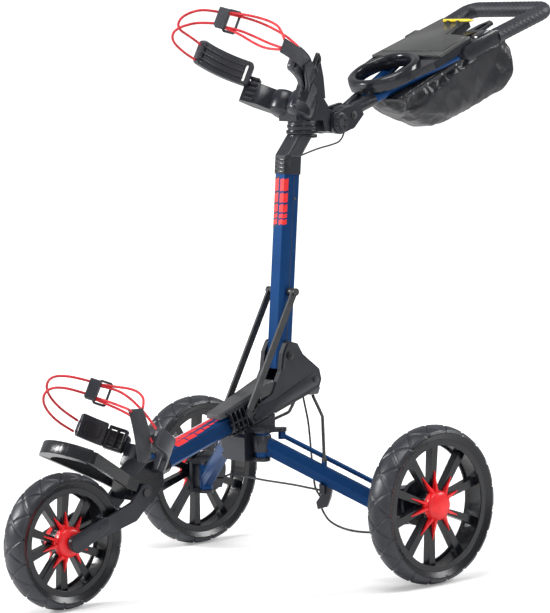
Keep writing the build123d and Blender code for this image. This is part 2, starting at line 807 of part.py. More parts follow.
with BuildPart() as upper_cords:
    lay("upper cord, upper strand", [bag_spot(*p) for p in (
        (-118, -8, 800), (-113, -30, 799), (-107, -56, 797), (-102, -82, 795), (-95, -96, 801),
        (-84, -99, 814), (-68, -90, 829), (-54, -75, 839), (-40, -54, 844),
    )], cord_radius)
    lay("upper cord, lower strand", [bag_spot(*p) for p in (
        (-118, -8, 769), (-115, -30, 767), (-109, -56, 766), (-104, -82, 768), (-97, -97, 775),
        (-88, -101, 785), (-76, -94, 797), (-58, -78, 812), (-40, -54, 821),
    )], cord_radius)
    lay("upper cord, near loop", [bag_spot(*p) for p in (
        (-26, -46, 847), (-4, -32, 851), (20, -15, 853), (48, -4, 849), (84, -9, 834), (122, -23, 803),
    )], cord_radius)
    lay("upper cord, near stay", [bag_spot(*p) for p in (
        (-26, -45, 845), (-4, -25, 848), (22, -3, 847), (50, 13, 840), (84, 24, 827), (114.5, 34, 808),
    )], cord_radius)
    lay("upper cord, near low strand", [bag_spot(*p) for p in (
        (-26, -41, 820), (-6, -25, 822), (22, -7, 817), (62, -5, 805), (98, -18, 794), (122, -24, 787),
    )], cord_radius)
    lay("upper cord, near low loop", [bag_spot(*p) for p in (
        (-26, -41, 818), (-8, -25, 816), (16, -12, 807), (50, -8, 796), (90, -17, 787), (122, -24, 783),
    )], cord_radius)
save(upper_cords, "upper_cords")

# ---------------------------------------------------------------- front block, fork, lower cradle
with BuildPart() as front_block:
    with BuildSketch(side_plane(-block_half)):
        Polygon((-388, 250), (-425, 243), (-468, 214), (-455, 178), (-415, 168), (-385, 200), align=None)
    extrude(amount=2 * block_half)
    with BuildSketch(spine_cross(spine_front)):
        tube_section(tube_size, tube_chamfer)
    extrude(amount=tube_size * 2, mode=Mode.SUBTRACT)
    with BuildSketch(spine_cross(spine_front + 16)):
        tube_section(tube_size + 8, tube_chamfer + 2)
    extrude(amount=22)
    with BuildSketch(spine_cross(spine_front + 15)):
        tube_section(tube_size, tube_chamfer)
    extrude(amount=24, mode=Mode.SUBTRACT)
    with BuildSketch(side_plane(-block_half)):
        with Locations((fork_pin_y, fork_pin_z)):
            Circle(pin_radius)
    extrude(amount=2 * block_half, mode=Mode.SUBTRACT)
save(front_block, "front_block")

fork_outer = fork_inner + fork_plate
with BuildPart() as fork_pin:
    with BuildSketch(side_plane(-fork_outer - side_gap)):
        with Locations((fork_pin_y, fork_pin_z)):
            Circle(pin_radius)
    extrude(amount=2 * (fork_outer + side_gap))
    for side in (-1, 1):
        with BuildSketch(side_plane(side * (fork_outer + side_gap))):
            with Locations((fork_pin_y, fork_pin_z)):
                Circle(bolt_head)
        extrude(amount=side * 3)
save(fork_pin, "fork_pin")

with BuildPart() as fork:
    for side in (-1, 1):
        with BuildSketch(side_plane(side * fork_inner)):
            with Locations((-wheelbase, front_radius), (fork_pin_y, fork_pin_z)):
                Circle(fork_arm)
            Polygon((-603, 107.5), (-460, 144), (-430, 170), (-423, 197), (-445, 205), (-470, 178),
                    (-595, 136.5), align=None)
        extrude(amount=side * fork_plate)
    with BuildSketch(side_plane(-fork_inner)):
        with Locations((-469, 161)):
            Circle(fork_tie)
    extrude(amount=2 * fork_inner)
    with BuildSketch(side_plane(-fork_outer)):
        with Locations((-wheelbase, front_radius)):
            Circle(axle_radius)
        with Locations((fork_pin_y, fork_pin_z)):
            Circle(pin_radius + running_gap)
    extrude(amount=2 * fork_outer, mode=Mode.SUBTRACT)
save(fork, "fork")

with BuildPart() as front_axle:
    with BuildSketch(side_plane(-fork_outer)):
        with Locations((-wheelbase, front_radius)):
            Circle(axle_radius)
    extrude(amount=2 * fork_outer)
    for side in (-1, 1):
        with BuildSketch(side_plane(side * fork_outer)):
            with Locations((-wheelbase, front_radius)):
                Circle(axle_radius + 4)
        extrude(amount=side * 4)
save(front_axle, "front_axle")

with BuildPart() as cradle_platform:
    with BuildSketch(bag_plane(lip_low)):
        ring_sector(lip_radius - lip_thick, lip_radius, 134, 226)
    extrude(amount=lip_high - lip_low)
    with BuildSketch(bag_plane(lip_low)):
        ring_sector(lip_radius - 22, lip_radius - lip_thick / 2, 138, 222)
    extrude(amount=4)
    for side in (-1, 1):
        with BuildSketch(bag_plane(lip_low)):
            Polygon(*[(side * x, y) for x, y in (
                (66, -72), (76, -62), (block_half + 8, 58), (block_half + 8, 84), (block_half, 84),
                (block_half, 58), (62, -62),
            )], align=None)
        extrude(amount=lip_high - lip_low - 2)
save(cradle_platform, "cradle_platform")


def make_lower_pad(tag, side, tip_angle):
    with BuildPart() as pad:
        with BuildSketch(bag_plane(lower_pad_low)):
            ring_sector(cradle_radius, cradle_radius + pad_thick, side * 27, side * tip_angle)
        extrude(amount=lower_pad_high - lower_pad_low)
        with BuildSketch(bag_plane(lower_pad_low - 22)):
            Polygon(*[(side * x, y) for x, y in (
                (block_half, 104), (block_half, 123), (46, 123), (60, 107), (53, 98),
            )], align=None)
        extrude(amount=lower_pad_high - lower_pad_low + 8)
        with BuildSketch(bag_plane((lower_pad_low + lower_pad_high) / 2 - 11)):
            ring_sector(cradle_radius - 2, cradle_radius + pad_thick + 2, side * 42, side * 44.4)
        extrude(amount=22, mode=Mode.SUBTRACT)
    save(pad, f"lower_pad_{tag}")


make_lower_pad("left", 1, 83)
make_lower_pad("right", -1, 77)

with BuildPart() as lower_strap:
    with BuildSketch(bag_plane(-30)):
        ring_sector(cradle_radius - 0.2 - strap_thick, cradle_radius - 0.2, 45, 125)
    extrude(amount=140)
    with BuildSketch(side_plane(60)):
        Polygon((-515, 265), (-482, 265), (-484, 300), (-466, 301), (-466, 309), (-485, 309), (-498, 357),
                (-524, 357), align=None)
    extrude(amount=70, mode=Mode.INTERSECT)
save(lower_strap, "lower_strap")

make_buckle("lower", -22, -43, 80, 40)

with BuildPart() as lower_cords:
    lay("lower cord, upper strand", [bag_spot(*p) for p in (
        (-116, 23, 57), (-112, -8, 58), (-106, -38, 61), (-100, -66, 67), (-92, -88, 76),
        (-80, -101, 87), (-66, -102, 97), (-50, -90, 104), (-36, -68, 109), (-26, -46, 112),
    )], cord_radius)
    lay("lower cord, lower strand", [bag_spot(*p) for p in (
        (-117, 23, 36), (-113, -8, 36), (-107, -36, 38), (-102, -62, 44), (-95, -83, 53),
        (-83, -96, 66), (-68, -96, 77), (-50, -86, 83), (-36, -68, 86), (-26, -46, 88),
    )], cord_radius)
    lay("lower cord, near loop", [bag_spot(*p) for p in (
        (-16, -33, 113), (10, -21, 116), (36, -12, 119), (64, -10, 114), (88, -13, 100), (106, -26, 78),
    )], cord_radius)
    lay("lower cord, near stay", [bag_spot(*p) for p in (
        (-16, -33, 110), (8, -20, 112), (34, -7, 105), (62, 2, 91), (88, 11, 75), (114, 19, 55),
    )], cord_radius)
    lay("lower cord, near hem strand", [bag_spot(*p) for p in (
        (-16, -35, 87), (10, -23, 86), (44, -20, 81), (80, -35, 74), (106, -49, 67),
    )], cord_radius)
    lay("lower cord, near inner strand", [bag_spot(*p) for p in (
        (-16, -34, 84), (8, -21, 81), (38, -12, 76), (70, -12, 68), (90, -8, 59), (103, 3, 47),
        (113, 16, 34),
    )], cord_radius)
save(lower_cords, "lower_cords")

# ---------------------------------------------------------------- handle
with BuildPart() as handle_yoke:
    for side in (-1, 1):
        with BuildSketch(handle_side(side * cheek_inner)):
            Circle(disc_radius)
            with Locations((26, -8)):
                Circle(16)
            Polygon((0, 18), (24, 20), (62, 12), (62, -12), (30, -24), (0, -disc_radius), align=None)
            Circle(pin_radius + running_gap, mode=Mode.SUBTRACT)
        extrude(amount=side * (cheek_outer - cheek_inner))
    with BuildSketch(handle_side(-cheek_inner)):
        Polygon((26, -20), (56, -15), (62, -10), (62, 10), (40, 15), (26, 12), align=None)
    extrude(amount=2 * cheek_inner)
    for side in (-1, 1):
        run = Vector(*handle_plane(0).from_local_coords((side * 48, 220, 0)))
        start = Vector(*handle_plane(0).from_local_coords((side * 19, 98, 0)))
        along = (run - start).normalized()
        with BuildSketch(Plane(origin=start - along * 42, z_dir=along)):
            Circle(handle_tube_radius + 2.5)
        extrude(amount=50)
        with BuildSketch(Plane(origin=start, z_dir=along)):
            Circle(handle_tube_radius)
        extrude(amount=50, mode=Mode.SUBTRACT)
save(handle_yoke, "handle_yoke")

handle_route = [
    (19, 98, 0), (48, 220, 0), (85, 340, 0), (handle_half, handle_reach, -handle_drop),
    (-handle_half, handle_reach, -handle_drop), (-85, 340, 0), (-48, 220, 0), (-19, 98, 0),
]
grip_share = (grip_start - 340) / (handle_reach - 340)
grip_x = 85 + (handle_half - 85) * grip_share
grip_h = -handle_drop * grip_share


def sweep_tube(name, places, bends, outer, inner):
    places = [handle_plane(0).from_local_coords(place) for place in places]
    with BuildPart() as tube:
        with BuildLine() as route:
            FilletPolyline(*places, radius=bends)
        with BuildSketch(Plane(origin=places[0], z_dir=places[1] - places[0])) as section:
            Circle(outer)
            Circle(inner, mode=Mode.SUBTRACT)
        sweep(sections=section.sketch, path=route.line)
    save(tube, name)


corner_bend = 23
sweep_tube("handle_tube", handle_route, [70, 70, corner_bend, corner_bend, 70, 70],
           handle_tube_radius, handle_tube_radius - handle_wall)
sweep_tube("handle_grip", [(grip_x, grip_start, grip_h), handle_route[3],
                           handle_route[4], (-grip_x, grip_start, grip_h)],
           [corner_bend, corner_bend], grip_radius, handle_tube_radius)

# ---------------------------------------------------------------- console, lid, pencil, lever, bag
lid_edge = [(-92, lid_front), (-52, lid_rear), (18, lid_rear), (32, 334), (98, 322), (95, lid_front)]
with BuildPart() as console_tray:
    with BuildSketch(handle_plane(console_low)):
        Polygon((-70, 165), (-90, 216), *lid_edge, (92, 216), (70, 165), align=None)
        with Locations((0, cup_v)):
            Circle(cup_radius)
    extrude(amount=lid_low - 0.4 - console_low)
    with BuildSketch(handle_plane(console_low)):
        with Locations((0, cup_v)):
            Circle(cup_radius)
    extrude(amount=cup_high - console_low)
    with BuildSketch(handle_plane(console_low + console_wall)):
        Polygon((-84, 252), (-48, 401), (12, 401), (26, 328), (91, 316), (88, 252), align=None)
    extrude(amount=lid_low - console_low, mode=Mode.SUBTRACT)
    with BuildSketch(handle_plane(console_low)):
        with Locations((0, cup_v)):
            Circle(cup_bore)
    extrude(amount=cup_high - console_low, mode=Mode.SUBTRACT)
    with BuildSketch(handle_plane(lever_low - side_gap - 6)):
        Polygon((26, 322), (66, 322), (60, 366), (36, 366), align=None)
    extrude(amount=6)
    with BuildSketch(handle_plane(lever_low - side_gap)):
        with Locations((48, 354)):
            Circle(lever_pin)
    extrude(amount=lever_high - lever_low + side_gap)
    with BuildSketch(handle_plane(console_low)):
        with Locations((0, 92)):
            Rectangle(80, 36)
    extrude(amount=handle_tube_radius + 2.8 - console_low, mode=Mode.SUBTRACT)
save(console_tray, "console_tray")

with BuildPart() as console_lid:
    with BuildSketch(handle_plane(lid_low)):
        Polygon(*lid_edge, align=None)
        with Locations((0, cup_v)):
            Circle(cup_radius + 1, mode=Mode.SUBTRACT)
    extrude(amount=console_high - lid_low)
    for middle in (-12, 14):
        with BuildSketch(handle_side(middle - 3)):
            with Locations((pencil_v, (console_high + pencil_h) / 2)):
                Rectangle(12, pencil_h - console_high + 4)
            with Locations((pencil_v, pencil_h)):
                Circle(pencil_radius + running_gap, mode=Mode.SUBTRACT)
        extrude(amount=6)
save(console_lid, "console_lid")

with BuildPart() as pencil:
    with BuildSketch(handle_side(-26)):
        with Locations((pencil_v, pencil_h)):
            Circle(pencil_radius)
    extrude(amount=68)
    with BuildSketch(handle_side(42)):
        with Locations((pencil_v, pencil_h)):
            Circle(pencil_radius)
    with BuildSketch(handle_side(55)):
        with Locations((pencil_v, pencil_h)):
            Circle(0.8)
    loft()
save(pencil, "pencil")

with BuildPart() as brake_lever:
    with BuildSketch(handle_plane(lever_low)):
        Polygon((40, 346), (58, 344), (80, 366), (79, 410), (64, 418), (52, 396), align=None)
        with Locations((67, 388)):
            with Locations(Location((0, 0, 0), (0, 0, 84))):
                SlotOverall(32, 12, mode=Mode.SUBTRACT)
        with Locations((48, 354)):
            Circle(lever_pin + running_gap, mode=Mode.SUBTRACT)
    extrude(amount=lever_high - lever_low)
save(brake_lever, "brake_lever")

bag_top = -handle_tube_radius - 0.3
with BuildPart() as accessory_bag:
    with BuildSketch(handle_side(-60)):
        Polygon((128, bag_top), (190, -76), (250, -121), (330, -130), (396, -127), (430, -113), (457, -66),
                (447, -36), (425, -15), (300, bag_top), align=None)
    extrude(amount=120)
    fillet(accessory_bag.edges().filter_by(Axis.X, reverse=True), 14)
save(accessory_bag, "accessory_bag")

# ---------------------------------------------------------------- cables
with BuildPart() as handle_cable:
    lay("handle cable", [spot(*p) for p in (
        (24, 84, 812), (22, 80, 797), (15, 60, 790), (8, 34, 785), (4, 9, 778), (2, -16, 771),
    )], cable_radius)
save(handle_cable, "handle_cable")

with BuildPart() as brake_cable_main:
    lay("main brake cable", [spot(*p) for p in (
        (1, -15, 327), (5, -12, 301), (11, -10, 272), (16, -11, 240), (22, -14, 210), (42, -28, 180),
        (76, -58, 158), (106, -72, 146), (125.5, -83.7, 143), (135.5, -100.8, 143),
    )], cable_radius)
save(brake_cable_main, "brake_cable_main")

with BuildPart() as brake_wire:
    lay("brake wire", [spot(*p) for p in (
        (146.2, -111.7, 168), (130, -118, 170), (92, -119, 172), (45, -116, 171.5), (-8, -106, 169),
        (-60, -92, 167), (-108, -70, 163), (-152, -46, 158), (-192, -25, 153), (-228, -9, 143),
        (-254, 8, 133), (-275.5, 8, 133),
    )], cable_radius)
save(brake_wire, "brake_wire")

with BuildPart() as brake_cable_left:
    lay("left brake cable", [spot(*p) for p in (
        (144, -106, 134), (150, -101, 115), (164, -91, 102), (187, -81, 94), (216, -72, 92),
        (241, -58, 93), (256, -34, 99), (266, -12, 108), (283.3, -12, 108),
    )], cable_radius)
save(brake_cable_left, "brake_cable_left")

with BuildPart() as cable_yoke:
    rail = Plane(
        origin=spot(leg_x, leg_y, 0), x_dir=(cos(heading), sin(heading), 0),
        z_dir=(sin(heading), -cos(heading), 0),
    )
    top = leg_z - leg_height / 2
    with BuildSketch(rail.offset(-5)):
        Polygon((112, top - slope * 112), (134, top - slope * 134), (130, 152), (124, 136), (106, 131),
                (103, 144), (114, 160), align=None)
    extrude(amount=10)
    with BuildSketch(rail.offset(5)):
        Polygon((112, 160), (122, 160), (122, 176), (112, 180), align=None)
    extrude(amount=9)
save(cable_yoke, "cable_yoke")
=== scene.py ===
import math
import bmesh
import bpy
from mathutils import Matrix, Vector, noise


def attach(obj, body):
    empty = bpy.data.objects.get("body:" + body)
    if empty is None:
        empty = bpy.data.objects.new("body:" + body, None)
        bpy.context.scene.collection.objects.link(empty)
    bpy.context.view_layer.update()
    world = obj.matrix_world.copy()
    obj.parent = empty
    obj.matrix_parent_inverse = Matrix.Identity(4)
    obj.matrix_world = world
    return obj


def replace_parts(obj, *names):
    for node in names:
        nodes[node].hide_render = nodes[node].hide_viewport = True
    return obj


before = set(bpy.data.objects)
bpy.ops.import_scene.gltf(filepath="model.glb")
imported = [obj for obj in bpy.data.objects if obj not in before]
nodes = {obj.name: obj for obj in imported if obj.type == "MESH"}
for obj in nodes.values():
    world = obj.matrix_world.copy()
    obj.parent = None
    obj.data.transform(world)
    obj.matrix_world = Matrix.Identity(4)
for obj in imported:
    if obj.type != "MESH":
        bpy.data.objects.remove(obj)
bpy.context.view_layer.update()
mm = 0.001

# The rear axle line, from which most of the cart's places are counted
cartBase = {"rearY": 67.8645, "rearRadius": 146.0, "frontRadius": 122.0, "wheelbase": 599.0, "track": 646.0,
            "handleY": 70, "handleZ": 831, "handleLean": 23.4}
wheelX, frontY = cartBase["track"] / 2, -cartBase["wheelbase"]
rearSize, frontSize = cartBase["rearRadius"], cartBase["frontRadius"]
bagBase = {"y": -512.7, "z": 272.5, "tilt": 62}  # foot of the line that the bag's middle follows
bothSides = ((1, "Left"), (-1, "Right"))


def localFrame(y, z, tilt):
    # X stays sideways and Z leans by tilt degrees from the rolling direction
    c, s = math.cos(math.radians(tilt)), math.sin(math.radians(tilt))
    turn = Matrix(((1, 0, 0, 0), (0, s, c, (cartBase["rearY"] + y)), (0, -c, s, z), (0, 0, 0, 1)))
    return Matrix.Scale(mm, 4) @ turn


cartFrame = localFrame(0, 0, 90)  # x left, y back, z up
mastFrame = localFrame(-71, 404, 84.9)
spineFrame = localFrame(-72, 330.5, 16.9)
bagFrame = localFrame(bagBase["y"], bagBase["z"], bagBase["tilt"])
handleFrame = localFrame(cartBase["handleY"], cartBase["handleZ"], 113.4)


def addObject(name, data):
    thing = bpy.data.objects.new(name, data)
    bpy.context.scene.collection.objects.link(thing)
    return thing


# camera and lamps
cameraSettings = {"azimuth": 47.28, "elevation": 6.02, "roll": -1.12,
                  "place": (4.1979, -3.8862, 1.0798), "lens": 180.72,
                  "shiftX": -0.00144, "shiftY": 0.01507}


def makeCamera(settings):
    a, e, r = (math.radians(settings[k]) for k in ("azimuth", "elevation", "roll"))
    back = Vector((math.sin(a) * math.cos(e), -math.cos(a) * math.cos(e), math.sin(e)))
    side = Vector((math.cos(a), math.sin(a), 0))
    up = back.cross(side)
    turn = Matrix((side, up, back)).transposed().to_4x4() @ Matrix.Rotation(r, 4, "Z")
    data = bpy.data.cameras.new("camera")
    data.sensor_fit = "VERTICAL"
    data.sensor_height = 36
    data.lens = settings["lens"]
    data.shift_x = settings["shiftX"]
    data.shift_y = settings["shiftY"]
    camera = addObject("camera", data)
    camera.matrix_world = Matrix.Translation(settings["place"]) @ turn
    bpy.context.scene.camera = camera


makeCamera(cameraSettings)
lamps = {"key": ((-2.6, -3.2, 2.1), 1.0, 150), "top": ((0.6, -0.8, 4.0), 2.0, 80),
         "fill": ((4.4, -2.4, 1.6), 1.8, 16), "rim": ((1.8, 2.6, 2.4), 1.2, 60)}
for lampName, (place, size, power) in lamps.items():
    lampData = bpy.data.lights.new(lampName, "AREA")
    lampData.size = size
    lampData.energy = power
    lamp = addObject(lampName, lampData)
    lamp.location = place
    lamp.rotation_euler = (Vector((0, 0, 0.5)) - Vector(place)).to_track_quat("-Z", "Y").to_euler()


# material tools
def shaderOf(mat):
    return mat.node_tree.nodes["Principled BSDF"]


def newMaterial(name, color, roughness, **sockets):
    mat = bpy.data.materials.new(name)
    mat.use_nodes = True
    shader = shaderOf(mat)
    shader.inputs["Base Color"].default_value = (*color, 1)
    shader.inputs["Roughness"].default_value = roughness
    for key, value in sockets.items():
        shader.inputs[key.replace("_", " ")].default_value = value
    return mat


def addNode(mat, kind, **values):
    node = mat.node_tree.nodes.new(kind)
    for key, value in values.items():
        setattr(node, key, value)
    return node


def joinNodes(mat, *pairs):
    for start, end in pairs:
        mat.node_tree.links.new(start, end)


def objectSpot(mat, scale=(1, 1, 1)):
    place = addNode(mat, "ShaderNodeTexCoord")
    mapping = addNode(mat, "ShaderNodeMapping")
    mapping.inputs["Scale"].default_value = scale
    joinNodes(mat, (place.outputs["Object"], mapping.inputs["Vector"]))
    return mapping.outputs["Vector"]


def addTint(mat, dark, light, scale, low=0.35, high=0.65, stretch=(1, 1, 1)):
    # soft colour variation over the surface
    spots = addNode(mat, "ShaderNodeTexNoise")
    spots.inputs["Scale"].default_value = scale
    spots.inputs["Detail"].default_value = 6
    ramp = addNode(mat, "ShaderNodeValToRGB")
    ramp.color_ramp.elements[0].position = low
    ramp.color_ramp.elements[1].position = high
    ramp.color_ramp.elements[0].color = (*dark, 1)
    ramp.color_ramp.elements[1].color = (*light, 1)
    joinNodes(mat, (objectSpot(mat, stretch), spots.inputs["Vector"]), (spots.outputs["Fac"], ramp.inputs["Fac"]),
              (ramp.outputs["Color"], shaderOf(mat).inputs["Base Color"]))
    return ramp.outputs["Color"]


def addGrain(mat, scale, height, strength=0.5, stretch=(1, 1, 1)):
    grain = addNode(mat, "ShaderNodeTexNoise")
    grain.inputs["Scale"].default_value = scale
    grain.inputs["Detail"].default_value = 4
    bump = addNode(mat, "ShaderNodeBump")
    bump.inputs["Strength"].default_value = strength
    bump.inputs["Distance"].default_value = height
    joinNodes(mat, (objectSpot(mat, stretch), grain.inputs["Vector"]), (grain.outputs["Fac"], bump.inputs["Height"]),
              (bump.outputs["Normal"], shaderOf(mat).inputs["Normal"]))
    return bump


def addEdgeHighlight(mat, color, light, amount=0.5):
    # painted highlight: convex edges come out lighter, as if they caught the light
    shape = addNode(mat, "ShaderNodeNewGeometry")
    ramp = addNode(mat, "ShaderNodeValToRGB")
    ramp.color_ramp.elements[0].position = 0.52
    ramp.color_ramp.elements[1].position = 0.62
    ramp.color_ramp.elements[0].color = (0, 0, 0, 1)
    ramp.color_ramp.elements[1].color = (amount, amount, amount, 1)
    mix = addNode(mat, "ShaderNodeMixRGB")
    mix.inputs["Color2"].default_value = (*light, 1)
    joinNodes(mat, (shape.outputs["Pointiness"], ramp.inputs["Fac"]), (ramp.outputs["Color"], mix.inputs["Fac"]),
              (color, mix.inputs["Color1"]), (mix.outputs["Color"], shaderOf(mat).inputs["Base Color"]))


def mouldedPlastic(name, dark, light, roughness, grainHeight=0.00012):
    mat = newMaterial(name, light, roughness)
    color = addTint(mat, dark, light, 24)
    # painted highlight on the convex edges
    addEdgeHighlight(mat, color, tuple(min(1, c * 2.2 + 0.02) for c in light), 0.45)
    addGrain(mat, 1700, grainHeight, 0.4)
    return mat


def bluePaint():
    mat = newMaterial("bluePaint", (0.003, 0.043, 0.16), 0.34, Metallic=0.45, Specular_IOR_Level=0.2,
                      Coat_Weight=0.06, Coat_Roughness=0.16)
    color = addTint(mat, (0.0025, 0.038, 0.14), (0.004, 0.05, 0.178), 9)
    # painted highlight: the convex edges take the brighter blue of a lit face
    addEdgeHighlight(mat, color, (0.03, 0.12, 0.32), 0.3)
    addGrain(mat, 2600, 0.00005, 0.35)
    return mat


def clothMaterial(name, dark, light, roughness, threads, height, sheen):
    # two crossed waves make the weave
    mat = newMaterial(name, light, roughness, Sheen_Weight=sheen, Sheen_Roughness=0.4)
    addTint(mat, dark, light, 60)
    spot = objectSpot(mat)
    bump = addNode(mat, "ShaderNodeBump")
    bump.inputs["Strength"].default_value = 0.6
    bump.inputs["Distance"].default_value = height
    total = addNode(mat, "ShaderNodeMath", operation="ADD")
    for i, axis in enumerate(("X", "Z")):
        wave = addNode(mat, "ShaderNodeTexWave", bands_direction=axis)
        wave.inputs["Scale"].default_value = threads
        joinNodes(mat, (spot, wave.inputs["Vector"]), (wave.outputs["Fac"], total.inputs[i]))
    joinNodes(mat, (total.outputs[0], bump.inputs["Height"]), (bump.outputs["Normal"], shaderOf(mat).inputs["Normal"]))
    return mat


finishes = {
    "blue": bluePaint(),
    "pad": mouldedPlastic("padPlastic", (0.019, 0.021, 0.028), (0.032, 0.035, 0.044), 0.34),
    "charcoal": mouldedPlastic("charcoalPlastic", (0.0075, 0.009, 0.0145), (0.0125, 0.0145, 0.022), 0.3),
    "black": mouldedPlastic("blackPlastic", (0.0035, 0.004, 0.0065), (0.0065, 0.0075, 0.0115), 0.24),
    "grey": mouldedPlastic("greyPlastic", (0.055, 0.056, 0.059), (0.078, 0.079, 0.083), 0.26),
    "rim": mouldedPlastic("rimPlastic", (0.0035, 0.004, 0.006), (0.007, 0.0078, 0.011), 0.24),
    "console": mouldedPlastic("consolePlastic", (0.0065, 0.0075, 0.011), (0.012, 0.0135, 0.019), 0.16, 0.00004),
    "lid": mouldedPlastic("lidPlastic", (0.035, 0.036, 0.036), (0.05, 0.051, 0.051), 0.22, 0.00004),
    "foam": mouldedPlastic("tyreFoam", (0.018, 0.0195, 0.0265), (0.031, 0.034, 0.044), 0.36, 0.0003),
    "grip": mouldedPlastic("gripFoam", (0.014, 0.0155, 0.022), (0.026, 0.0285, 0.038), 0.5, 0.0003),
    "cable": mouldedPlastic("cableSheath", (0.02, 0.02, 0.022), (0.034, 0.034, 0.037), 0.42),
    "nylon": clothMaterial("bagNylon", (0.005, 0.0055, 0.0085), (0.0095, 0.0105, 0.015), 0.27, 420, 0.00008, 0.03),
    "webbing": clothMaterial("strapWebbing", (0.021, 0.0225, 0.0285), (0.036, 0.0385, 0.047), 0.7, 300, 0.0004, 0.2),
    "cord": clothMaterial("elasticCord", (0.6, 0.01, 0.02), (0.85, 0.02, 0.035), 0.4, 500, 0.0003, 0.1),
}


def tintedFinish(name, color, roughness, dark, light, scale, grain=None, **sockets):
    mat = newMaterial(name, color, roughness, **sockets)
    addTint(mat, dark, light, scale)
    if grain:
        addGrain(mat, *grain)
    return mat


finishes.update({
    "steel": tintedFinish("zincSteel", (0.42, 0.42, 0.43), 0.34, (0.3, 0.3, 0.31), (0.5, 0.5, 0.5), 90,
                          (1500, 0.00004, 0.3, (1, 1, 9)), Metallic=0.9),
    "blackSteel": tintedFinish("blackSteel", (0.028, 0.028, 0.03), 0.36, (0.04, 0.041, 0.043), (0.06, 0.061, 0.064), 50,
                               (1400, 0.00008, 0.4), Metallic=0.35),
    "red": tintedFinish("redPlastic", (0.9, 0.014, 0.02), 0.32, (0.82, 0.011, 0.016), (0.97, 0.018, 0.024), 40,
                        (1500, 0.00006, 0.3)),
    "redInk": tintedFinish("redInk", (0.9, 0.02, 0.02), 0.4, (0.84, 0.016, 0.018), (0.93, 0.024, 0.024), 60),
    "paleInk": tintedFinish("paleInk", (0.8, 0.62, 0.68), 0.4, (0.74, 0.55, 0.62), (0.84, 0.68, 0.74), 60),
    # painted shade: a dark navy for strips that stand in for faces and grooves in shade
    "paintedShade": tintedFinish("paintedShadeNavy", (0.004, 0.012, 0.045), 0.5, (0.003, 0.01, 0.038), (0.005, 0.014, 0.052), 60),
    "pencil": tintedFinish("pencilLacquer", (0.93, 0.72, 0.02), 0.3, (0.86, 0.62, 0.012), (0.95, 0.76, 0.03), 120,
                           (900, 0.00005, 0.3, (0.1, 1, 1)), Coat_Weight=0.4),
})
print("materials ready", len(finishes))


# mesh tools
def smoothByAngle(bm, degrees):
    for face in bm.faces:
        face.smooth = True
    for edge in bm.edges:
        if len(edge.link_faces) == 2 and edge.calc_face_angle(0) > math.radians(degrees):
            edge.smooth = False


def faceOutward(bm):
    bmesh.ops.recalc_face_normals(bm, faces=bm.faces)


def placeMesh(bm, local):
    bmesh.ops.transform(bm, matrix=local, verts=bm.verts)
    faceOutward(bm)


def finishPiece(name, bm, finish, body, degrees=35, local=None):
    if local is not None:
        placeMesh(bm, local)
    smoothByAngle(bm, degrees)
    mesh = bpy.data.meshes.new(name)
    bm.to_mesh(mesh)
    bm.free()
    piece = addObject(name, mesh)
    mesh.materials.append(finishes[finish])
    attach(piece, body)
    return piece


def bakeModifiers(piece):
    graph = bpy.context.evaluated_depsgraph_get()
    mesh = bpy.data.meshes.new_from_object(piece.evaluated_get(graph))
    old = piece.data
    piece.modifiers.clear()
    piece.data = mesh
    bpy.data.meshes.remove(old)


def roundEdges(bm, width, segments=2, degrees=30):
    edges = [e for e in bm.edges if len(e.link_faces) == 2 and e.calc_face_angle(0) > math.radians(degrees)]
    if edges:
        bmesh.ops.bevel(bm, geom=edges, offset=width, segments=segments, profile=0.5, affect="EDGES", material=-1,
                        clamp_overlap=True)


def pushFace(bm, face, offset):
    # extrudes a face by an offset, and gives back the new vertices
    raised = bmesh.ops.extrude_face_region(bm, geom=[face])["geom"]
    moved = [v for v in raised if isinstance(v, bmesh.types.BMVert)]
    bmesh.ops.translate(bm, verts=moved, vec=offset)
    return moved


def spinProfile(bm, profile, steps, closed=True, axis=(0, 0, 1)):
    # pairs of x and z, spun round Z unless another axis is given
    loop = [bm.verts.new((r, 0, h)) for r, h in profile]
    edges = [bm.edges.new(pair) for pair in zip(loop, loop[1:] + loop[:1] if closed else loop[1:])]
    bmesh.ops.spin(bm, geom=loop + edges, cent=(0, 0, 0), axis=axis, angle=2 * math.pi, steps=steps,
                   use_merge=True)
    if not closed:
        bmesh.ops.remove_doubles(bm, verts=bm.verts, dist=0.02)


def addMesh(bm, part):
    mesh = bpy.data.meshes.new("part")
    part.to_mesh(mesh)
    part.free()
    bm.from_mesh(mesh)
    bpy.data.meshes.remove(mesh)


def slabs(name, parts, finish, body, rounding):
    # each part is an outline in a local frame's x and y, raised from low to high
    bm = bmesh.new()
    for local, outline, low, high in parts:
        part = bmesh.new()
        pushFace(part, part.faces.new([part.verts.new((x, y, low)) for x, y in outline]), (0, 0, high - low))
        faceOutward(part)
        if rounding:
            roundEdges(part, rounding)
        placeMesh(part, local)
        addMesh(bm, part)
    finishPiece(name, bm, finish, body)


def sideFrame(y, z, side, tilt=0):
    # x runs back along the cart, y up, and z out of the chosen side
    turn = Matrix(((0, 0, side, 0), (1, 0, 0, cartBase["rearY"] + y), (0, 1, 0, z), (0, 0, 0, 1)))
    return Matrix.Scale(mm, 4) @ turn @ Matrix.Rotation(math.radians(tilt), 4, "Z")


def handleSide(side):
    # x runs out along the handle, y up from it, and z out of the chosen side
    c, s = math.cos(math.radians(cartBase["handleLean"])), math.sin(math.radians(cartBase["handleLean"]))
    turn = Matrix(((0, 0, side, 0), (c, -s, 0, cartBase["rearY"] + cartBase["handleY"]),
                   (s, c, 0, cartBase["handleZ"]), (0, 0, 0, 1)))
    return Matrix.Scale(mm, 4) @ turn


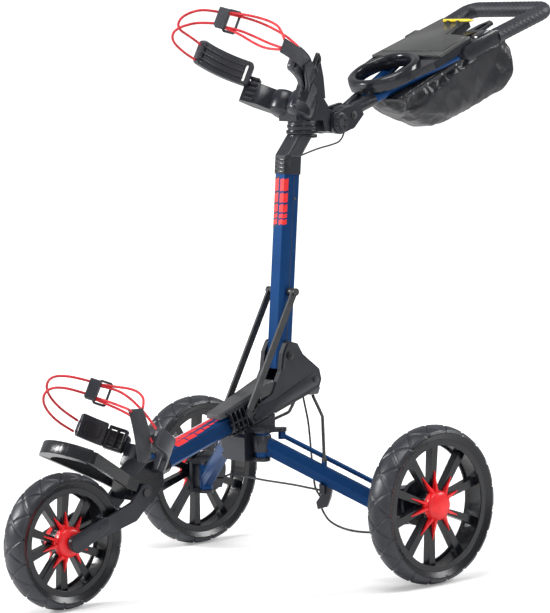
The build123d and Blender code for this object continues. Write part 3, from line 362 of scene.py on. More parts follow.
def softenNode(name, finish, width=0.6):
    # carried CAD shapes keep their mesh; modifiers only round the edges
    node = nodes[name]
    node.data.materials.clear()
    node.data.materials.append(finishes[finish])
    weld = node.modifiers.new("weld", "WELD")
    weld.merge_threshold = 0.000004
    bevel = node.modifiers.new("bevel", "BEVEL")
    bevel.width = width * mm
    bevel.segments = 2
    bevel.limit_method = "ANGLE"
    bevel.angle_limit = math.radians(38)
    bevel.harden_normals = True


# the cart's own carried shapes, by finish
carried = {
    "blue": ["front_tube", "mast_tube", "leg_left", "leg_right", "leg_rod_left", "leg_rod_right", "handle_tube"],
    "black": ["front_block"],
    "charcoal": ["hub_housing", "leg_yoke", "cradle_head", "upper_arm_left", "upper_arm_right", "handle_yoke",
                 "wheel_carrier_left", "wheel_carrier_right", "cable_yoke", "fork", "mast_collar"],
    "pad": ["upper_buckle", "lower_buckle", "neck"],
    "grey": ["hub_cover", "hub_rail"],
    "rim": ["cradle_platform", "front_rim", "rear_left_rim", "rear_right_rim"],
    "console": ["console_tray", "brake_lever"],
    "lid": ["console_lid"],
    "blackSteel": ["mast_pin", "hub_pins", "fork_pin", "front_axle", "handle_pin", "bar_bolts", "leg_strut_left",
                   "leg_strut_right", "link_bar_left", "link_bar_right"],
    "pencil": ["pencil"],
}
for finish, names in carried.items():
    for name in names:
        softenNode(name, finish, 0.35 if finish in ("blackSteel", "pencil") else 0.8)
print("carried pieces dressed")

# cords and cables
cordSizes = {"radius": 2.4, "cableRadius": 2.0, "handleCableRadius": 1.6}


def makeCord(name, local, points, radius, finish, body, replaced):
    data = bpy.data.curves.new(name, "CURVE")
    data.dimensions = "3D"
    spline = data.splines.new("NURBS")
    spline.points.add(len(points) - 1)
    for point, place in zip(spline.points, points):
        point.co = (*(local @ Vector(place)), 1)
    spline.order_u = 3
    spline.use_endpoint_u = True
    data.resolution_u = 12
    piece = addObject(name, data)
    plain = bpy.data.meshes.new_from_object(piece.evaluated_get(bpy.context.evaluated_depsgraph_get()))
    bpy.data.meshes.remove(plain)
    data.bevel_depth = radius * mm
    data.bevel_resolution = 4
    data.use_fill_caps = True
    data.materials.append(finishes[finish])
    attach(piece, body)
    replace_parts(piece, replaced)


upperCords = {
    "upperCordHigh": [(-118, -8, 800), (-113, -30, 799), (-107, -56, 797), (-102, -82, 795), (-95, -96, 801),
                      (-84, -99, 814), (-68, -90, 829), (-54, -75, 839), (-40, -54, 844)],
    "upperCordLow": [(-118, -8, 769), (-115, -30, 767), (-109, -56, 766), (-104, -82, 768), (-97, -97, 775),
                     (-88, -101, 785), (-76, -94, 797), (-58, -78, 812), (-40, -54, 821)],
    "upperLoopHigh": [(-26, -46, 847), (-4, -32, 851), (20, -15, 853), (48, -4, 849), (84, -9, 834), (122, -23, 803)],
    "upperStay": [(-26, -45, 845), (-4, -25, 848), (22, -3, 847), (50, 13, 840), (84, 24, 827), (114.5, 34, 808)],
    "upperLoopMid": [(-26, -41, 820), (-6, -25, 822), (22, -7, 817), (62, -5, 805), (98, -18, 794), (122, -24, 787)],
    "upperLoopLow": [(-26, -41, 818), (-8, -25, 816), (16, -12, 807), (50, -8, 796), (90, -17, 787), (122, -24, 783)],
}
lowerCords = {
    "lowerCordHigh": [(-116, 23, 57), (-112, -8, 58), (-106, -38, 61), (-100, -66, 67), (-92, -88, 76),
                      (-80, -101, 87), (-66, -102, 97), (-50, -90, 104), (-36, -68, 109), (-26, -46, 112)],
    "lowerCordLow": [(-117, 23, 36), (-113, -8, 36), (-107, -36, 38), (-102, -62, 44), (-95, -83, 53),
                     (-83, -96, 66), (-68, -96, 77), (-50, -86, 83), (-36, -68, 86), (-26, -46, 88)],
    "lowerLoop": [(-16, -33, 113), (10, -21, 116), (36, -12, 119), (64, -10, 114), (88, -13, 100), (106, -26, 78)],
    "lowerStay": [(-16, -33, 110), (8, -20, 112), (34, -7, 105), (62, 2, 91), (88, 11, 75), (114, 19, 55)],
    "lowerHemStrand": [(-16, -35, 87), (10, -23, 86), (44, -20, 81), (80, -35, 74), (106, -49, 67)],
    "lowerInnerStrand": [(-16, -34, 84), (8, -21, 81), (38, -12, 76), (70, -12, 68), (90, -8, 59), (103, 3, 47),
                         (113, 16, 34)],
}
for cords, body, replaced in ((upperCords, "mast", "upper_cords"), (lowerCords, "chassis", "lower_cords")):
    for name, points in cords.items():
        makeCord(name, bagFrame, points, cordSizes["radius"], "cord", body, replaced)
cables = {
    "handleCable": ([(24, 84, 812), (22, 80, 797), (15, 60, 790), (8, 34, 785), (4, 9, 778), (2, -16, 771)],
                    "mast", "handle_cable"),
    "brakeCableMain": ([(1, -15, 327), (5, -12, 301), (11, -10, 272), (16, -11, 240), (22, -14, 210), (42, -28, 180),
                        (76, -58, 158), (106, -72, 146), (125.5, -83.7, 143), (135.5, -100.8, 143)],
                       "chassis", "brake_cable_main"),
    "brakeWire": ([(146.2, -111.7, 168), (130, -118, 170), (92, -119, 172), (45, -116, 171.5), (-8, -106, 169),
                   (-60, -92, 167), (-108, -70, 163), (-152, -46, 158), (-192, -25, 153), (-228, -9, 143),
                   (-254, 8, 133), (-275.5, 8, 133)], "chassis", "brake_wire"),
    "brakeCableLeft": ([(144, -106, 134), (150, -101, 115), (164, -91, 102), (187, -81, 94), (216, -72, 92),
                        (241, -58, 93), (256, -34, 99), (266, -12, 108), (283.3, -12, 108)],
                       "leg_left", "brake_cable_left"),
}
for name, (points, body, replaced) in cables.items():
    radius = cordSizes["handleCableRadius" if name == "handleCable" else "cableRadius"]
    makeCord(name, cartFrame, points, radius, "cable", body, replaced)
print("cords and cables laid")

# tyres with their crossing grooves
tyre = {"depth": 25, "bead": 0.38, "groove": 2.2, "grooveWidth": 4.2, "step": 1.7}


def makeTyre(name, x, y, radius, width, blocks, body, replaced):
    half, bead = width / 2, radius - tyre["depth"]
    shoulder = radius - 0.3 * tyre["depth"]
    corners = [(tyre["bead"] * width, bead), (half, bead + 0.45 * tyre["depth"]), (half - 3, shoulder)]
    rise = radius - shoulder
    bow = ((half - 3) ** 2 + rise ** 2) / (2 * rise)
    arc = math.asin((half - 3) / bow)
    profile = []
    for start, end in zip(corners, corners[1:]):
        count = max(2, round(math.dist(start, end) / tyre["step"]))
        profile += [(start[0] + (end[0] - start[0]) * i / count, start[1] + (end[1] - start[1]) * i / count)
                    for i in range(count)]
    count = round(2 * arc * bow / tyre["step"])
    profile += [(bow * math.sin(arc * (1 - 2 * i / count)), radius - bow + bow * math.cos(arc * (1 - 2 * i / count)))
                for i in range(count + 1)]
    profile += [(-px, pr) for px, pr in reversed(profile[:len(profile) - count - 1])]
    bm = bmesh.new()
    spinProfile(bm, profile, round(2 * math.pi * radius / tyre["step"]), axis=(1, 0, 0))
    faceOutward(bm)
    bm.normal_update()
    pitch = 2 * math.pi * radius / blocks
    moves = []
    for v in bm.verts:
        r = math.hypot(v.co.y, v.co.z)
        turn = math.atan2(v.co.z, v.co.y) / (2 * math.pi) * blocks
        fade = min(1, max(0, (r - bead - 9) / 7))  # the side walls stay plain
        depth = 0
        for lean in (1, -1):
            line = turn + lean * v.co.x / width
            away = abs(line - round(line)) * pitch * 0.7
            depth = max(depth, 1 - min(1, (away / (tyre["grooveWidth"] / 2)) ** 2))
        moves.append((v, v.normal * (-tyre["groove"] * depth * fade)))
    for v, move in moves:
        v.co += move
    placeMesh(bm, cartFrame @ Matrix.Translation((x, y, radius)))
    middle = cartFrame @ Vector((x, y, radius))
    bm.faces.index_update()
    walls = [f.index for f in bm.faces if math.hypot(*(f.calc_center_median() - middle).yz) < (shoulder - 4) * mm]
    piece = finishPiece(name, bm, "foam", body, 60)
    piece.data.materials.append(finishes["rim"])
    for i in walls:
        piece.data.polygons[i].material_index = 1
    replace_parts(piece, replaced)


for side, tag in bothSides:
    makeTyre("rearTyre" + tag, side * wheelX, 0, rearSize, 56, 19, "rear_wheel_" + tag.lower(),
             f"rear_{tag.lower()}_tyre")
makeTyre("frontTyre", 0, frontY, frontSize, 54, 16, "front_wheel", "front_tyre")
print("tyres made")

# red stars on the hubs
star = {"point": 33, "valley": 27.5, "plate": (7.6, 6), "firstSpoke": 33, "root": 13.5, "lean": 17,
        "ribWidth": 6.4, "ribTip": 0.2, "ribStart": 23, "ribEnd": 64, "ribHeights": (7, 9, 19),
        "dome": [(27.6, 8), (27.6, 17), (26.6, 20.4), (24.2, 23.4), (20.6, 25.6), (14, 27), (7, 27.7), (0.01, 27.9)]}


def makeStar(name, x, y, z, inner, side, body):
    bm = bmesh.new()
    ring = []
    low, thick = star["plate"]
    for i in range(10):
        turn = math.radians(star["firstSpoke"] + 36 * i)
        r = star["point"] if i % 2 == 0 else star["valley"]
        ring.append(bm.verts.new((r * math.cos(turn), r * math.sin(turn), low)))
    pushFace(bm, bm.faces.new(ring), (0, 0, thick))
    faceOutward(bm)
    roundEdges(bm, 1.2)
    spinProfile(bm, star["dome"], 48, closed=False)
    under, tipTop, rootTop = (Vector((0, 0, h)) for h in star["ribHeights"])
    foot = Vector((star["root"], 0, 0))
    a = star["ribStart"] - star["root"]
    b = min(star["ribEnd"], 0.6 * inner) - star["root"]
    for i in range(5):
        for lean in (-star["lean"], star["lean"]):
            tip = Vector((inner * math.cos(math.radians(lean)), inner * math.sin(math.radians(lean)), 0))
            line = (tip - foot).normalized()
            across = Vector((-line.y, line.x, 0)) * star["ribWidth"] / 2
            turn = Matrix.Rotation(math.radians(star["firstSpoke"] + 72 * i), 4, "Z")
            outline = [foot + line * a + under, foot + line * b + under, foot + line * b + tipTop,
                       foot + line * a + rootTop]
            face = bm.faces.new([bm.verts.new(turn @ (p - across)) for p in outline])
            for v in list(face.verts) + pushFace(bm, face, turn.to_3x3() @ (across * 2)):
                # each rib narrows from the dome to its tip
                place = turn.inverted() @ v.co - foot
                along, off = place.dot(line), place.dot(across) / across.length_squared
                v.co -= turn.to_3x3() @ across * off * (1 - star["ribTip"]) * (along - a) / (b - a)
    finishPiece(name, bm, "red", body, 30, Matrix.Translation((x * mm, 0, 0)) @ sideFrame(y, z, side))


for side, tag in bothSides:
    makeStar("rearStar" + tag, side * wheelX, 0, rearSize, 114, side, "rear_wheel_" + tag.lower())
for side, tag in bothSides:
    makeStar("frontStar" + tag, 0, frontY, frontSize, 90, side, "front_wheel")
print("hub stars made")


# foam grip on the handle
def roundedPath(points, radius, step, turns=24):
    # straight runs joined by arcs, as evenly spaced places
    points = [Vector(p) for p in points]
    places = [points[0]]
    for before, corner, after in zip(points, points[1:], points[2:]):
        a, b = (before - corner).normalized(), (after - corner).normalized()
        half = a.angle(b) / 2
        run = radius / math.tan(half)
        centre = corner + (a + b).normalized() * radius / math.sin(half)
        start, end = corner + a * run, corner + b * run
        sweep = math.pi - 2 * half
        u = start - centre
        w = (end - centre - u * math.cos(sweep)) / math.sin(sweep)
        places += [centre + u * math.cos(sweep * i / turns) + w * math.sin(sweep * i / turns)
                   for i in range(turns + 1)]
    places.append(points[-1])
    even, travelled = [places[0]], 0.0
    for start, end in zip(places, places[1:]):
        run = (end - start).length
        while travelled + run >= step:
            share = (step - travelled) / run
            start = start + (end - start) * share
            run = (end - start).length
            even.append(start)
            travelled = 0.0
        travelled += run
    even.append(places[-1])
    return even


def sweepRing(bm, places, flat, radius, segments):
    ring = bmesh.ops.create_circle(bm, cap_ends=True, radius=radius, segments=segments)["verts"]
    flat = Vector(flat)

    def standAt(i):
        along = (places[min(i + 1, len(places) - 1)] - places[max(i - 1, 0)]).normalized()
        out = flat.cross(along).normalized()
        return Matrix.Translation(places[i]) @ Matrix((out, along.cross(out), along)).transposed().to_4x4()

    bmesh.ops.transform(bm, matrix=standAt(0), verts=ring)
    cap = list(bm.faces)[-1]
    last = standAt(0)
    for i in range(1, len(places)):
        raised = bmesh.ops.extrude_face_region(bm, geom=[cap])["geom"]
        ring = [v for v in raised if isinstance(v, bmesh.types.BMVert)]
        faces = [f for f in raised if isinstance(f, bmesh.types.BMFace)]
        if i > 1:
            bmesh.ops.delete(bm, geom=[cap], context="FACES_ONLY")
        cap = faces[0]
        here = standAt(i)
        bmesh.ops.transform(bm, matrix=here @ last.inverted(), verts=ring)
        last = here


gripSizes = {"radius": 15.4, "start": 394, "end": 541, "half": 104, "drop": -12, "corner": 23, "step": 1.6,
             "ring": 60, "diamond": 11.0, "rounds": 8, "lineWidth": 0.13, "dent": 0.95}
gripShare = (gripSizes["start"] - 340) / 201  # how far the start lies along the tube's last straight run
gripSide = [(85 + 19 * gripShare, gripSizes["start"], gripSizes["drop"] * gripShare),
            (gripSizes["half"], gripSizes["end"], gripSizes["drop"])]
gripPath = roundedPath(gripSide + [(-x, y, z) for x, y, z in reversed(gripSide)], gripSizes["corner"],
                       gripSizes["step"])
bm = bmesh.new()
sweepRing(bm, gripPath, (0, -0.06, 1), gripSizes["radius"], gripSizes["ring"])
faceOutward(bm)
bm.normal_update()
bm.verts.ensure_lookup_table()
ringSize = gripSizes["ring"]
for i, v in enumerate(list(bm.verts)):
    along = (i // ringSize) * gripSizes["step"]
    around = (i % ringSize) / ringSize * gripSizes["rounds"]
    dent = 0
    for lean in (1, -1):
        line = around + lean * along / gripSizes["diamond"]
        dent = max(dent, 1 - min(1, abs(line - round(line)) / gripSizes["lineWidth"]))
    endFade = min(1, along / 8, max(0, (len(gripPath) * gripSizes["step"] - along) / 8))
    v.co -= v.normal * gripSizes["dent"] * dent * endFade
grip = finishPiece("handleGrip", bm, "grip", "handle", 50, handleFrame)
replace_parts(grip, "handle_grip")
print("grip made")


# bent plates: a flat outline with holes, bent round the bag's axis
def roundedRect(x0, y0, x1, y1, r, steps=6):
    points = []
    for cx, cy, start in ((x1 - r, y1 - r, 0), (x0 + r, y1 - r, 90), (x0 + r, y0 + r, 180), (x1 - r, y0 + r, 270)):
        turns = [math.radians(start + 90 * i / steps) for i in range(steps + 1)]
        points += [(cx + r * math.cos(turn), cy + r * math.sin(turn)) for turn in turns]
    return points


def flatPlate(outlines, thickness, rounding):
    data = bpy.data.curves.new("plate", "CURVE")
    data.dimensions = "2D"
    data.fill_mode = "BOTH"
    for outline in outlines:
        spline = data.splines.new("POLY")
        spline.points.add(len(outline) - 1)
        for point, (px, py) in zip(spline.points, outline):
            point.co = (px, py, 0, 1)
        spline.use_cyclic_u = True
    data.extrude = thickness / 2 - rounding
    data.bevel_depth = rounding
    data.bevel_resolution = 1
    data.offset = -rounding
    holder = addObject("plate", data)
    mesh = bpy.data.meshes.new_from_object(holder.evaluated_get(bpy.context.evaluated_depsgraph_get()))
    bpy.data.objects.remove(holder)
    bpy.data.curves.remove(data)
    bm = bmesh.new()
    bm.from_mesh(mesh)
    bpy.data.meshes.remove(mesh)
    bmesh.ops.remove_doubles(bm, verts=bm.verts, dist=0.01)
    return bm


def cutAcross(bm, x):
    bmesh.ops.bisect_plane(bm, geom=bm.verts[:] + bm.edges[:] + bm.faces[:], plane_co=(x, 0, 0), plane_no=(1, 0, 0))


def bendRound(bm, radius, side, step=4.0):
    low, high = min(v.co.x for v in bm.verts), max(v.co.x for v in bm.verts)
    for i in range(1, int((high - low) / step)):
        cutAcross(bm, low + i * step)
    for v in bm.verts:
        angle, r = v.co.x / radius, radius + v.co.z
        v.co = Vector((side * r * math.sin(angle), r * math.cos(angle), v.co.y))


pad = {"inner": 111.0, "thick": 12.0, "corner": 9, "rounding": 1.6, "ribs": 3, "ribHalf": 1.3}


def makePad(name, side, start, end, low, high, slots, body, replaced):
    mid = pad["inner"] + pad["thick"] / 2
    reach = [math.radians(a) * mid for a in (start, end)]
    outlines = [roundedRect(reach[0], low, reach[1], high, pad["corner"])]
    for angle, slotHigh, slotWide in slots:
        middle = math.radians(angle) * mid
        outlines.append(roundedRect(middle - slotWide / 2, (low + high) / 2 - slotHigh / 2, middle + slotWide / 2,
                                    (low + high) / 2 + slotHigh / 2, slotWide * 0.42))
    bm = flatPlate(outlines, pad["thick"], pad["rounding"])
    bendRound(bm, mid, side)
    # ribs on the side that holds the bag
    half = pad["ribHalf"]
    for k in range(1, pad["ribs"] + 1):
        height = low + (high - low) * k / (pad["ribs"] + 1)
        rib = flatPlate([roundedRect(reach[0] + 8, height - half, reach[1] - 12, height + half, 1.2)], 2.4, 0.5)
        bendRound(rib, pad["inner"] - 0.4, side)
        addMesh(bm, rib)
    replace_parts(finishPiece(name, bm, "pad", body, 30, bagFrame), replaced)


makePad("upperPadLeft", 1, 38, 84, 763, 811, [(44, 34, 5), (79, 34, 5)], "mast", "upper_pad_left")
makePad("upperPadRight", -1, 38, 96, 763, 811, [(44, 34, 5), (91, 34, 5)], "mast", "upper_pad_right")


# webbing straps
def addStrap(name, bm, body, replaced):
    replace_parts(finishPiece(name, bm, "webbing", body, 30, bagFrame), replaced)


strap = {"skin": 123.2, "thick": 2.5, "low": 778, "high": 806, "start": 46, "end": 101}
mid = strap["skin"] + strap["thick"] / 2
bm = flatPlate([roundedRect(math.radians(strap["start"]) * mid, strap["low"],
                            math.radians(strap["end"]) * mid, strap["high"], 1.5)],
               strap["thick"], 0.8)
bendRound(bm, mid, 1)
addStrap("upperStrap", bm, "mast", "upper_strap")


def toBag(y, z):
    # a place on the cart's side view, as the bag's own y and height
    dy, dz = y - bagBase["y"], z - bagBase["z"]
    lean = math.radians(90 - bagBase["tilt"])
    down, up = math.sin(lean), math.cos(lean)
    return dy * up - dz * down, dy * down + dz * up


lowerStrap = {"radius": 109.55, "thick": 2.5, "step": 5,
              "edge": [(-515, 265), (-482, 265), (-484, 300), (-466, 301), (-466, 309), (-485, 309), (-498, 357),
                       (-524, 357)]}
bm = flatPlate([[toBag(*p) for p in lowerStrap["edge"]]], lowerStrap["thick"], 0.7)
for i in range(-12, 13):
    cutAcross(bm, i * lowerStrap["step"])
for v in bm.verts:
    radius = lowerStrap["radius"] + v.co.z
    v.co = Vector((math.sqrt(max(1, radius ** 2 - v.co.x ** 2)), v.co.x, v.co.y))
addStrap("lowerStrap", bm, "chassis", "lower_strap")


# lower pads with the feet that hold them to the front block
def makeLowerPad(name, side, end, replaced):
    slots = [(43.2, 22, 4.8)] if side == 1 else []
    makePad(name, side, 27, end, 30, 64, slots, "chassis", replaced)
    outline = [(side * x, y) for x, y in ((28, 104), (28, 123), (46, 123), (60, 107), (53, 98))]
    slabs(name + "Foot", [(bagFrame, outline, 8, 50)], "charcoal", "chassis", 1.5)


makeLowerPad("lowerPadLeft", 1, 83, "lower_pad_left")
makeLowerPad("lowerPadRight", -1, 77, "lower_pad_right")
print("pads and straps made")


# raised details, each a set of outlines on a face of the cart
def faceFrame(local, origin, across):
    # x runs across the face, y along the local Z, and z out of the face
    u, v = Vector(across).normalized(), Vector((0, 0, 1))
    n = u.cross(v)
    turn = Matrix((u, v, n)).transposed().to_4x4()
    return local @ Matrix.Translation(origin) @ turn


def circle(x, y, radius, count=24):
    return [(x + radius * math.cos(2 * math.pi * i / count), y + radius * math.sin(2 * math.pi * i / count))
            for i in range(count)]


mastFront = faceFrame(mastFrame, (0, -19, 0), (1, 0, 0))
mastCorner = faceFrame(mastFrame, (12, -19, 0), (1, 1, 0))
mastSide = faceFrame(mastFrame, (19, 0, 0), (0, 1, 0))
marks = {"rows": [(304.5, 327), (283, 300), (265, 279), (254, 261.5), (242, 251)], "skew": 2.5}
columns = [(mastFront, -11.2, -2.4), (mastFront, 2.2, 12.2), (mastCorner, -0.1, 8.2)]
skew = marks["skew"]
slabs("mastMarks", [(face, [(a, low), (b, low + skew), (b, high + skew), (a, high)], 0.05, 0.22)
                    for face, a, b in columns for low, high in marks["rows"]], "redInk", "mast", 0)
# painted shade: navy strips on the mast's front and side stand for faces in shade
slabs("mastPaintedShade", [(mastFront, [(-12.3, 236), (-1.2, 240), (-1.2, 334), (-12.3, 331)], -0.05, 0.1),
                    (mastSide, [(-1, -8), (1, -8), (1, 334), (-1, 334)], -0.05, 0.14)], "paintedShade", "mast", 0)
slabs("mastRivet", [(mastSide, circle(3, 292, 2.6, 16), -0.2, 1.2)], "grey", "mast", 0.5)

spineTop = faceFrame(spineFrame, (0, -19, 0), (1, 0, 0))
spineSide = faceFrame(spineFrame, (19, 0, 0), (0, 1, 0))
spineOther = faceFrame(spineFrame, (-19, 0, 0), (0, -1, 0))
stripe = {"left": -7.5, "wide": 18.5, "narrow": 5, "gap": 3.2, "lean": 9, "over": (8.6, 7.4, 5.8, 4.2, 2.6, 1.2)}
cuts = [-292, -262, -238, -218, -201, -187, -174, -160]
spineCorner = faceFrame(spineFrame, (12, -19, 0), (1, 1, 0))


def stripeEdge(along):
    share = (along - cuts[0]) / (cuts[-1] - cuts[0])
    return stripe["left"] + stripe["wide"] + (stripe["narrow"] - stripe["wide"]) * share


stripeParts = [(spineTop, [(stripe["left"], a), (stripeEdge(a), a + stripe["lean"]),
                           (stripeEdge(b), b - stripe["gap"] + stripe["lean"]), (stripe["left"], b - stripe["gap"])],
                0.05, 0.22) for a, b in zip(cuts, cuts[1:])]
# the stripe's end runs over on to the corner face
stripeParts += [(spineCorner, [(-0.1, a + 9), (reach, a + 9 + reach * 0.6), (reach, b + 6 + reach * 0.6),
                               (-0.1, b + 6)], 0.05, 0.22)
                for a, b, reach in zip(cuts, cuts[1:], stripe["over"])]
slabs("spineStripe", stripeParts, "redInk", "chassis", 0)
slabs("spineLine", [(spineTop, [(-11.4, -296), (-9, -296), (-9, -162), (-11.4, -162)], 0.05, 0.2)],
      "paleInk", "chassis", 0)
# painted shade: navy lines on both sides of the tube stand for the shade in its grooves
slabs("spineGrooveShade", [(face, [(low, -322), (low + 1.4, -322), (low + 1.4, -60), (low, -60)], -0.05, 0.14)
                       for face in (spineSide, spineOther) for low in (-9.5, 2.5)], "paintedShade", "chassis", 0)
print("marks made")

# ribbed cage that holds the front tube below the hub
cage = {"start": -150, "end": -62, "ribs": 8, "pitch": 11, "thick": 3}
cageParts = []
for side in (1, -1):
    for i in range(cage["ribs"]):
        low = cage["start"] + i * cage["pitch"]
        deep = 36 - 5 * abs(i - 4)
        outline = [(19.3, -26), (27, -24), (30.2, -14), (30.2, 14), (27, deep), (19.3, deep + 2)]
        cageParts.append((spineFrame, [(side * x, y) for x, y in outline], low, low + cage["thick"]))
    for y0, y1, out in ((-27, -23, 27), (-6, -2, 30.6), (16, 20, 29.5)):
        outline = [(19.2, y0), (out, y0), (out, y1), (19.2, y1)]
        cageParts.append((spineFrame, [(side * x, y) for x, y in outline], cage["start"] - 4, cage["end"] - 2))
slabs("hubCage", cageParts, "black", "chassis", 0.6)
cheek = {"panel": [(-152, 316), (-108, 326), (-52, 350), (-6, 366), (4, 352), (-4, 342), (-106, 307), (-160, 290),
                   (-166, 298)],
         "rim": [(-92, 380), (-87, 409), (-79, 424), (-74, 428), (-71, 427), (-76, 421), (-83, 406), (-87, 380)]}
for side, tag in bothSides:
    face = sideFrame(0, 0, side)
    slabs("hubPanel" + tag, [(face, cheek["panel"], 29, 31.3), (face, cheek["rim"], 29, 31.4)],
          "charcoal", "chassis", 0.8)
    slabs("hubScrew" + tag, [(face, circle(-7, 354, 6), 31, 33), (face, circle(-71, 404, 4.2, 6), 34, 36)],
          "blackSteel", "chassis", 0.7)

# neck clamp, collar ribs and the rounded shoulders of the upper cradle
ringParts = [(cartFrame, circle(0, -2, r, 40), low, high)
             for r, low, high in ((28.4, 806, 812), (29.6, 814, 821), (28, 825, 831))]
slabs("neckRings", ringParts, "black", "mast", 0.9)
collarFront = faceFrame(mastFrame, (0, -21, 0), (1, 0, 0))
collarCorner = faceFrame(mastFrame, (13, -21, 0), (1, 1, 0))
collarRibs = []
for i in range(4):
    low = 338.5 + 7.5 * i
    collarRibs.append((collarFront, [(-12, low + 3), (13, low), (13, low + 3), (-12, low + 6)], -0.5, 1.4))
    collarRibs.append((collarCorner, [(-0.5, low), (10, low + 3), (10, low + 6), (-0.5, low + 3)], -0.5, 1.4))
slabs("collarRibs", collarRibs, "black", "mast", 0.5)
shoulder = {"profile": [(0.01, -26), (15, -25.4), (22, -22), (26, -15), (26.6, 0), (26, 14), (22, 20.6), (15, 23.6),
                        (0.01, 24)], "place": (24, 152, 757)}
for side, tag in bothSides:
    bm = bmesh.new()
    spinProfile(bm, shoulder["profile"], 40, closed=False)
    x, y, z = shoulder["place"]
    finishPiece("shoulder" + tag, bm, "charcoal", "mast", 40, bagFrame @ Matrix.Translation((side * x, y, z)))

# pierced hinge discs, their holes drawn as dark discs of painted shade, and hexagon screws on the handle yoke
hingeDisc = {"radius": 19.5, "holes": 6, "holeRing": 12.4, "holeRadius": 3.8}
for side, tag in bothSides:
    face = handleSide(side)
    slabs("hingeRing" + tag, [(face, circle(0, 0, hingeDisc["radius"], 40), 29.5, 32.2)], "charcoal", "handle", 0.9)
    # painted shade: dark discs where the holes would show their shaded insides
    holes = [(face, circle(x, y, hingeDisc["holeRadius"], 20), 31.6, 32.5)
             for x, y in circle(0, 0, hingeDisc["holeRing"], hingeDisc["holes"])]
    slabs("hingeHoleShade" + tag, holes, "rim", "handle", 0.2)
    slabs("yokeScrew" + tag, [(face, circle(38, -2, 7.5, 28), 29.5, 32), (face, circle(38, -2, 4.6, 6), 31.5, 34.5)],
          "blackSteel", "handle", 0.6)

# glossy lip round the cup holder and a raised frame on the lid
cupLip = {"along": 172, "profile": [(56.2, 20), (56.2, 31.5), (58, 34.6), (61.5, 36), (66, 35.6), (70, 33.4),
                                    (72.2, 29.5), (73, 22), (72.2, 12), (69, 10.4), (58, 10.4)]}
bm = bmesh.new()
spinProfile(bm, cupLip["profile"], 72)
finishPiece("cupLip", bm, "console", "handle", 50, handleFrame @ Matrix.Translation((0, cupLip["along"], 0)))
lidEdge = [(-88, 250), (-49, 404), (15, 404), (28, 330), (94, 318), (91, 250)]
lidMiddle = Vector((4, 320))
inner = [tuple(lidMiddle + (Vector(p) - lidMiddle) * 0.93) for p in lidEdge]
slabs("lidPanel", [(handleFrame, inner, 29.8, 31.2)], "lid", "lid", 0.7)


# clamp and window frame on the far lower pad
def bentBlock(name, side, radius, thick, outlines, finish, body, rounding=1.2):
    bm = flatPlate(outlines, thick, rounding)
    bendRound(bm, radius, side)
    finishPiece(name, bm, finish, body, local=bagFrame)


def onArc(a, b, low, high, radius, corner):
    return roundedRect(math.radians(a) * radius, low, math.radians(b) * radius, high, corner)


bentBlock("clampBody", -1, 107, 9, [onArc(50, 79, 28, 72, 107, 4)], "charcoal", "chassis")
bentBlock("clampFace", -1, 101.5, 3, [onArc(55, 74, 37, 62, 101.5, 6)], "black", "chassis", 0.8)
bentBlock("windowFrame", -1, 105, 13, [onArc(29, 49, 26, 70, 105, 3), onArc(31.5, 38, 31, 65, 105, 2),
                                       onArc(40, 46.5, 31, 65, 105, 2)], "black", "chassis")

# covers over the handle tube beside the console, and the bag's hems with their eyelets
cover = {"side": [(296, -6), (304, -11.5), (388, -12.5), (397, -5), (397, 8), (388, 13), (330, 19), (300, 19),
                  (288, 10)],
         "cap": [(336, 12), (380, 10), (372, 21), (342, 22)]}
hem = {"top": -14.5, "low": -21.5, "from": 150, "to": 436, "eyelets": 7, "pitch": 43}
for side, tag in bothSides:
    face = handleSide(side)
    slabs("consoleCover" + tag, [(face, cover["side"], 77, 103), (face, cover["cap"], 80, 100)],
          "console", "handle", 1.2)
    slabs("pouchHem" + tag, [(face, [(hem["from"], hem["top"]), (hem["to"], hem["top"]), (hem["to"] + 4, hem["low"]),
                                     (hem["from"] + 8, hem["low"])], 56, 63.5)], "webbing", "handle", 1.2)
    slabs("hemEyelets" + tag, [(face, circle(168 + hem["pitch"] * i, -18, 2.2, 16), 63, 64.4)
                               for i in range(hem["eyelets"])], "steel", "handle", 0.4)

# fork ends, rounded boxes over the axle
forkEnd = {"tilt": 23.4, "radius": 16.5, "low": 37.4, "high": 45.5, "arm": [(70, -13), (76, -9), (76, 9), (70, 13)]}
for side, tag in bothSides:
    face = sideFrame(frontY, frontSize, side, forkEnd["tilt"])
    end = [(forkEnd["radius"] * math.cos(math.radians(a)), forkEnd["radius"] * math.sin(math.radians(a)))
           for a in range(90, 271, 15)]
    slabs("forkEnd" + tag, [(face, end + forkEnd["arm"], forkEnd["low"], forkEnd["high"])], "charcoal", "fork", 2.4)
    slabs("forkScrew" + tag, [(face, circle(52, 0, 3.4, 6), 45, 46.2)], "rim", "fork", 0.3)

# dark sleeves round the roots of the legs
sleeve = {"place": (45, -160, 251),
          "profile": [(13.2, -15.5), (16.4, -15.5), (17.2, -14), (17.2, 14), (16.4, 15.5), (13.2, 15.5)]}
for side, tag in bothSides:
    bm = bmesh.new()
    spinProfile(bm, sleeve["profile"], 36)
    x, y, z = sleeve["place"]
    finishPiece("legSleeve" + tag, bm, "charcoal", "leg_" + tag.lower(), 40,
                cartFrame @ Matrix.Translation((side * x, y, z)))

# buckle of the near upper strap
bentBlock("strapBuckle", 1, 134, 7, [onArc(38, 61, 797, 822, 134, 3), onArc(41.5, 47, 803, 817, 134, 1.5),
                                     onArc(51.5, 57.5, 803, 817, 134, 1.5)], "black", "mast")

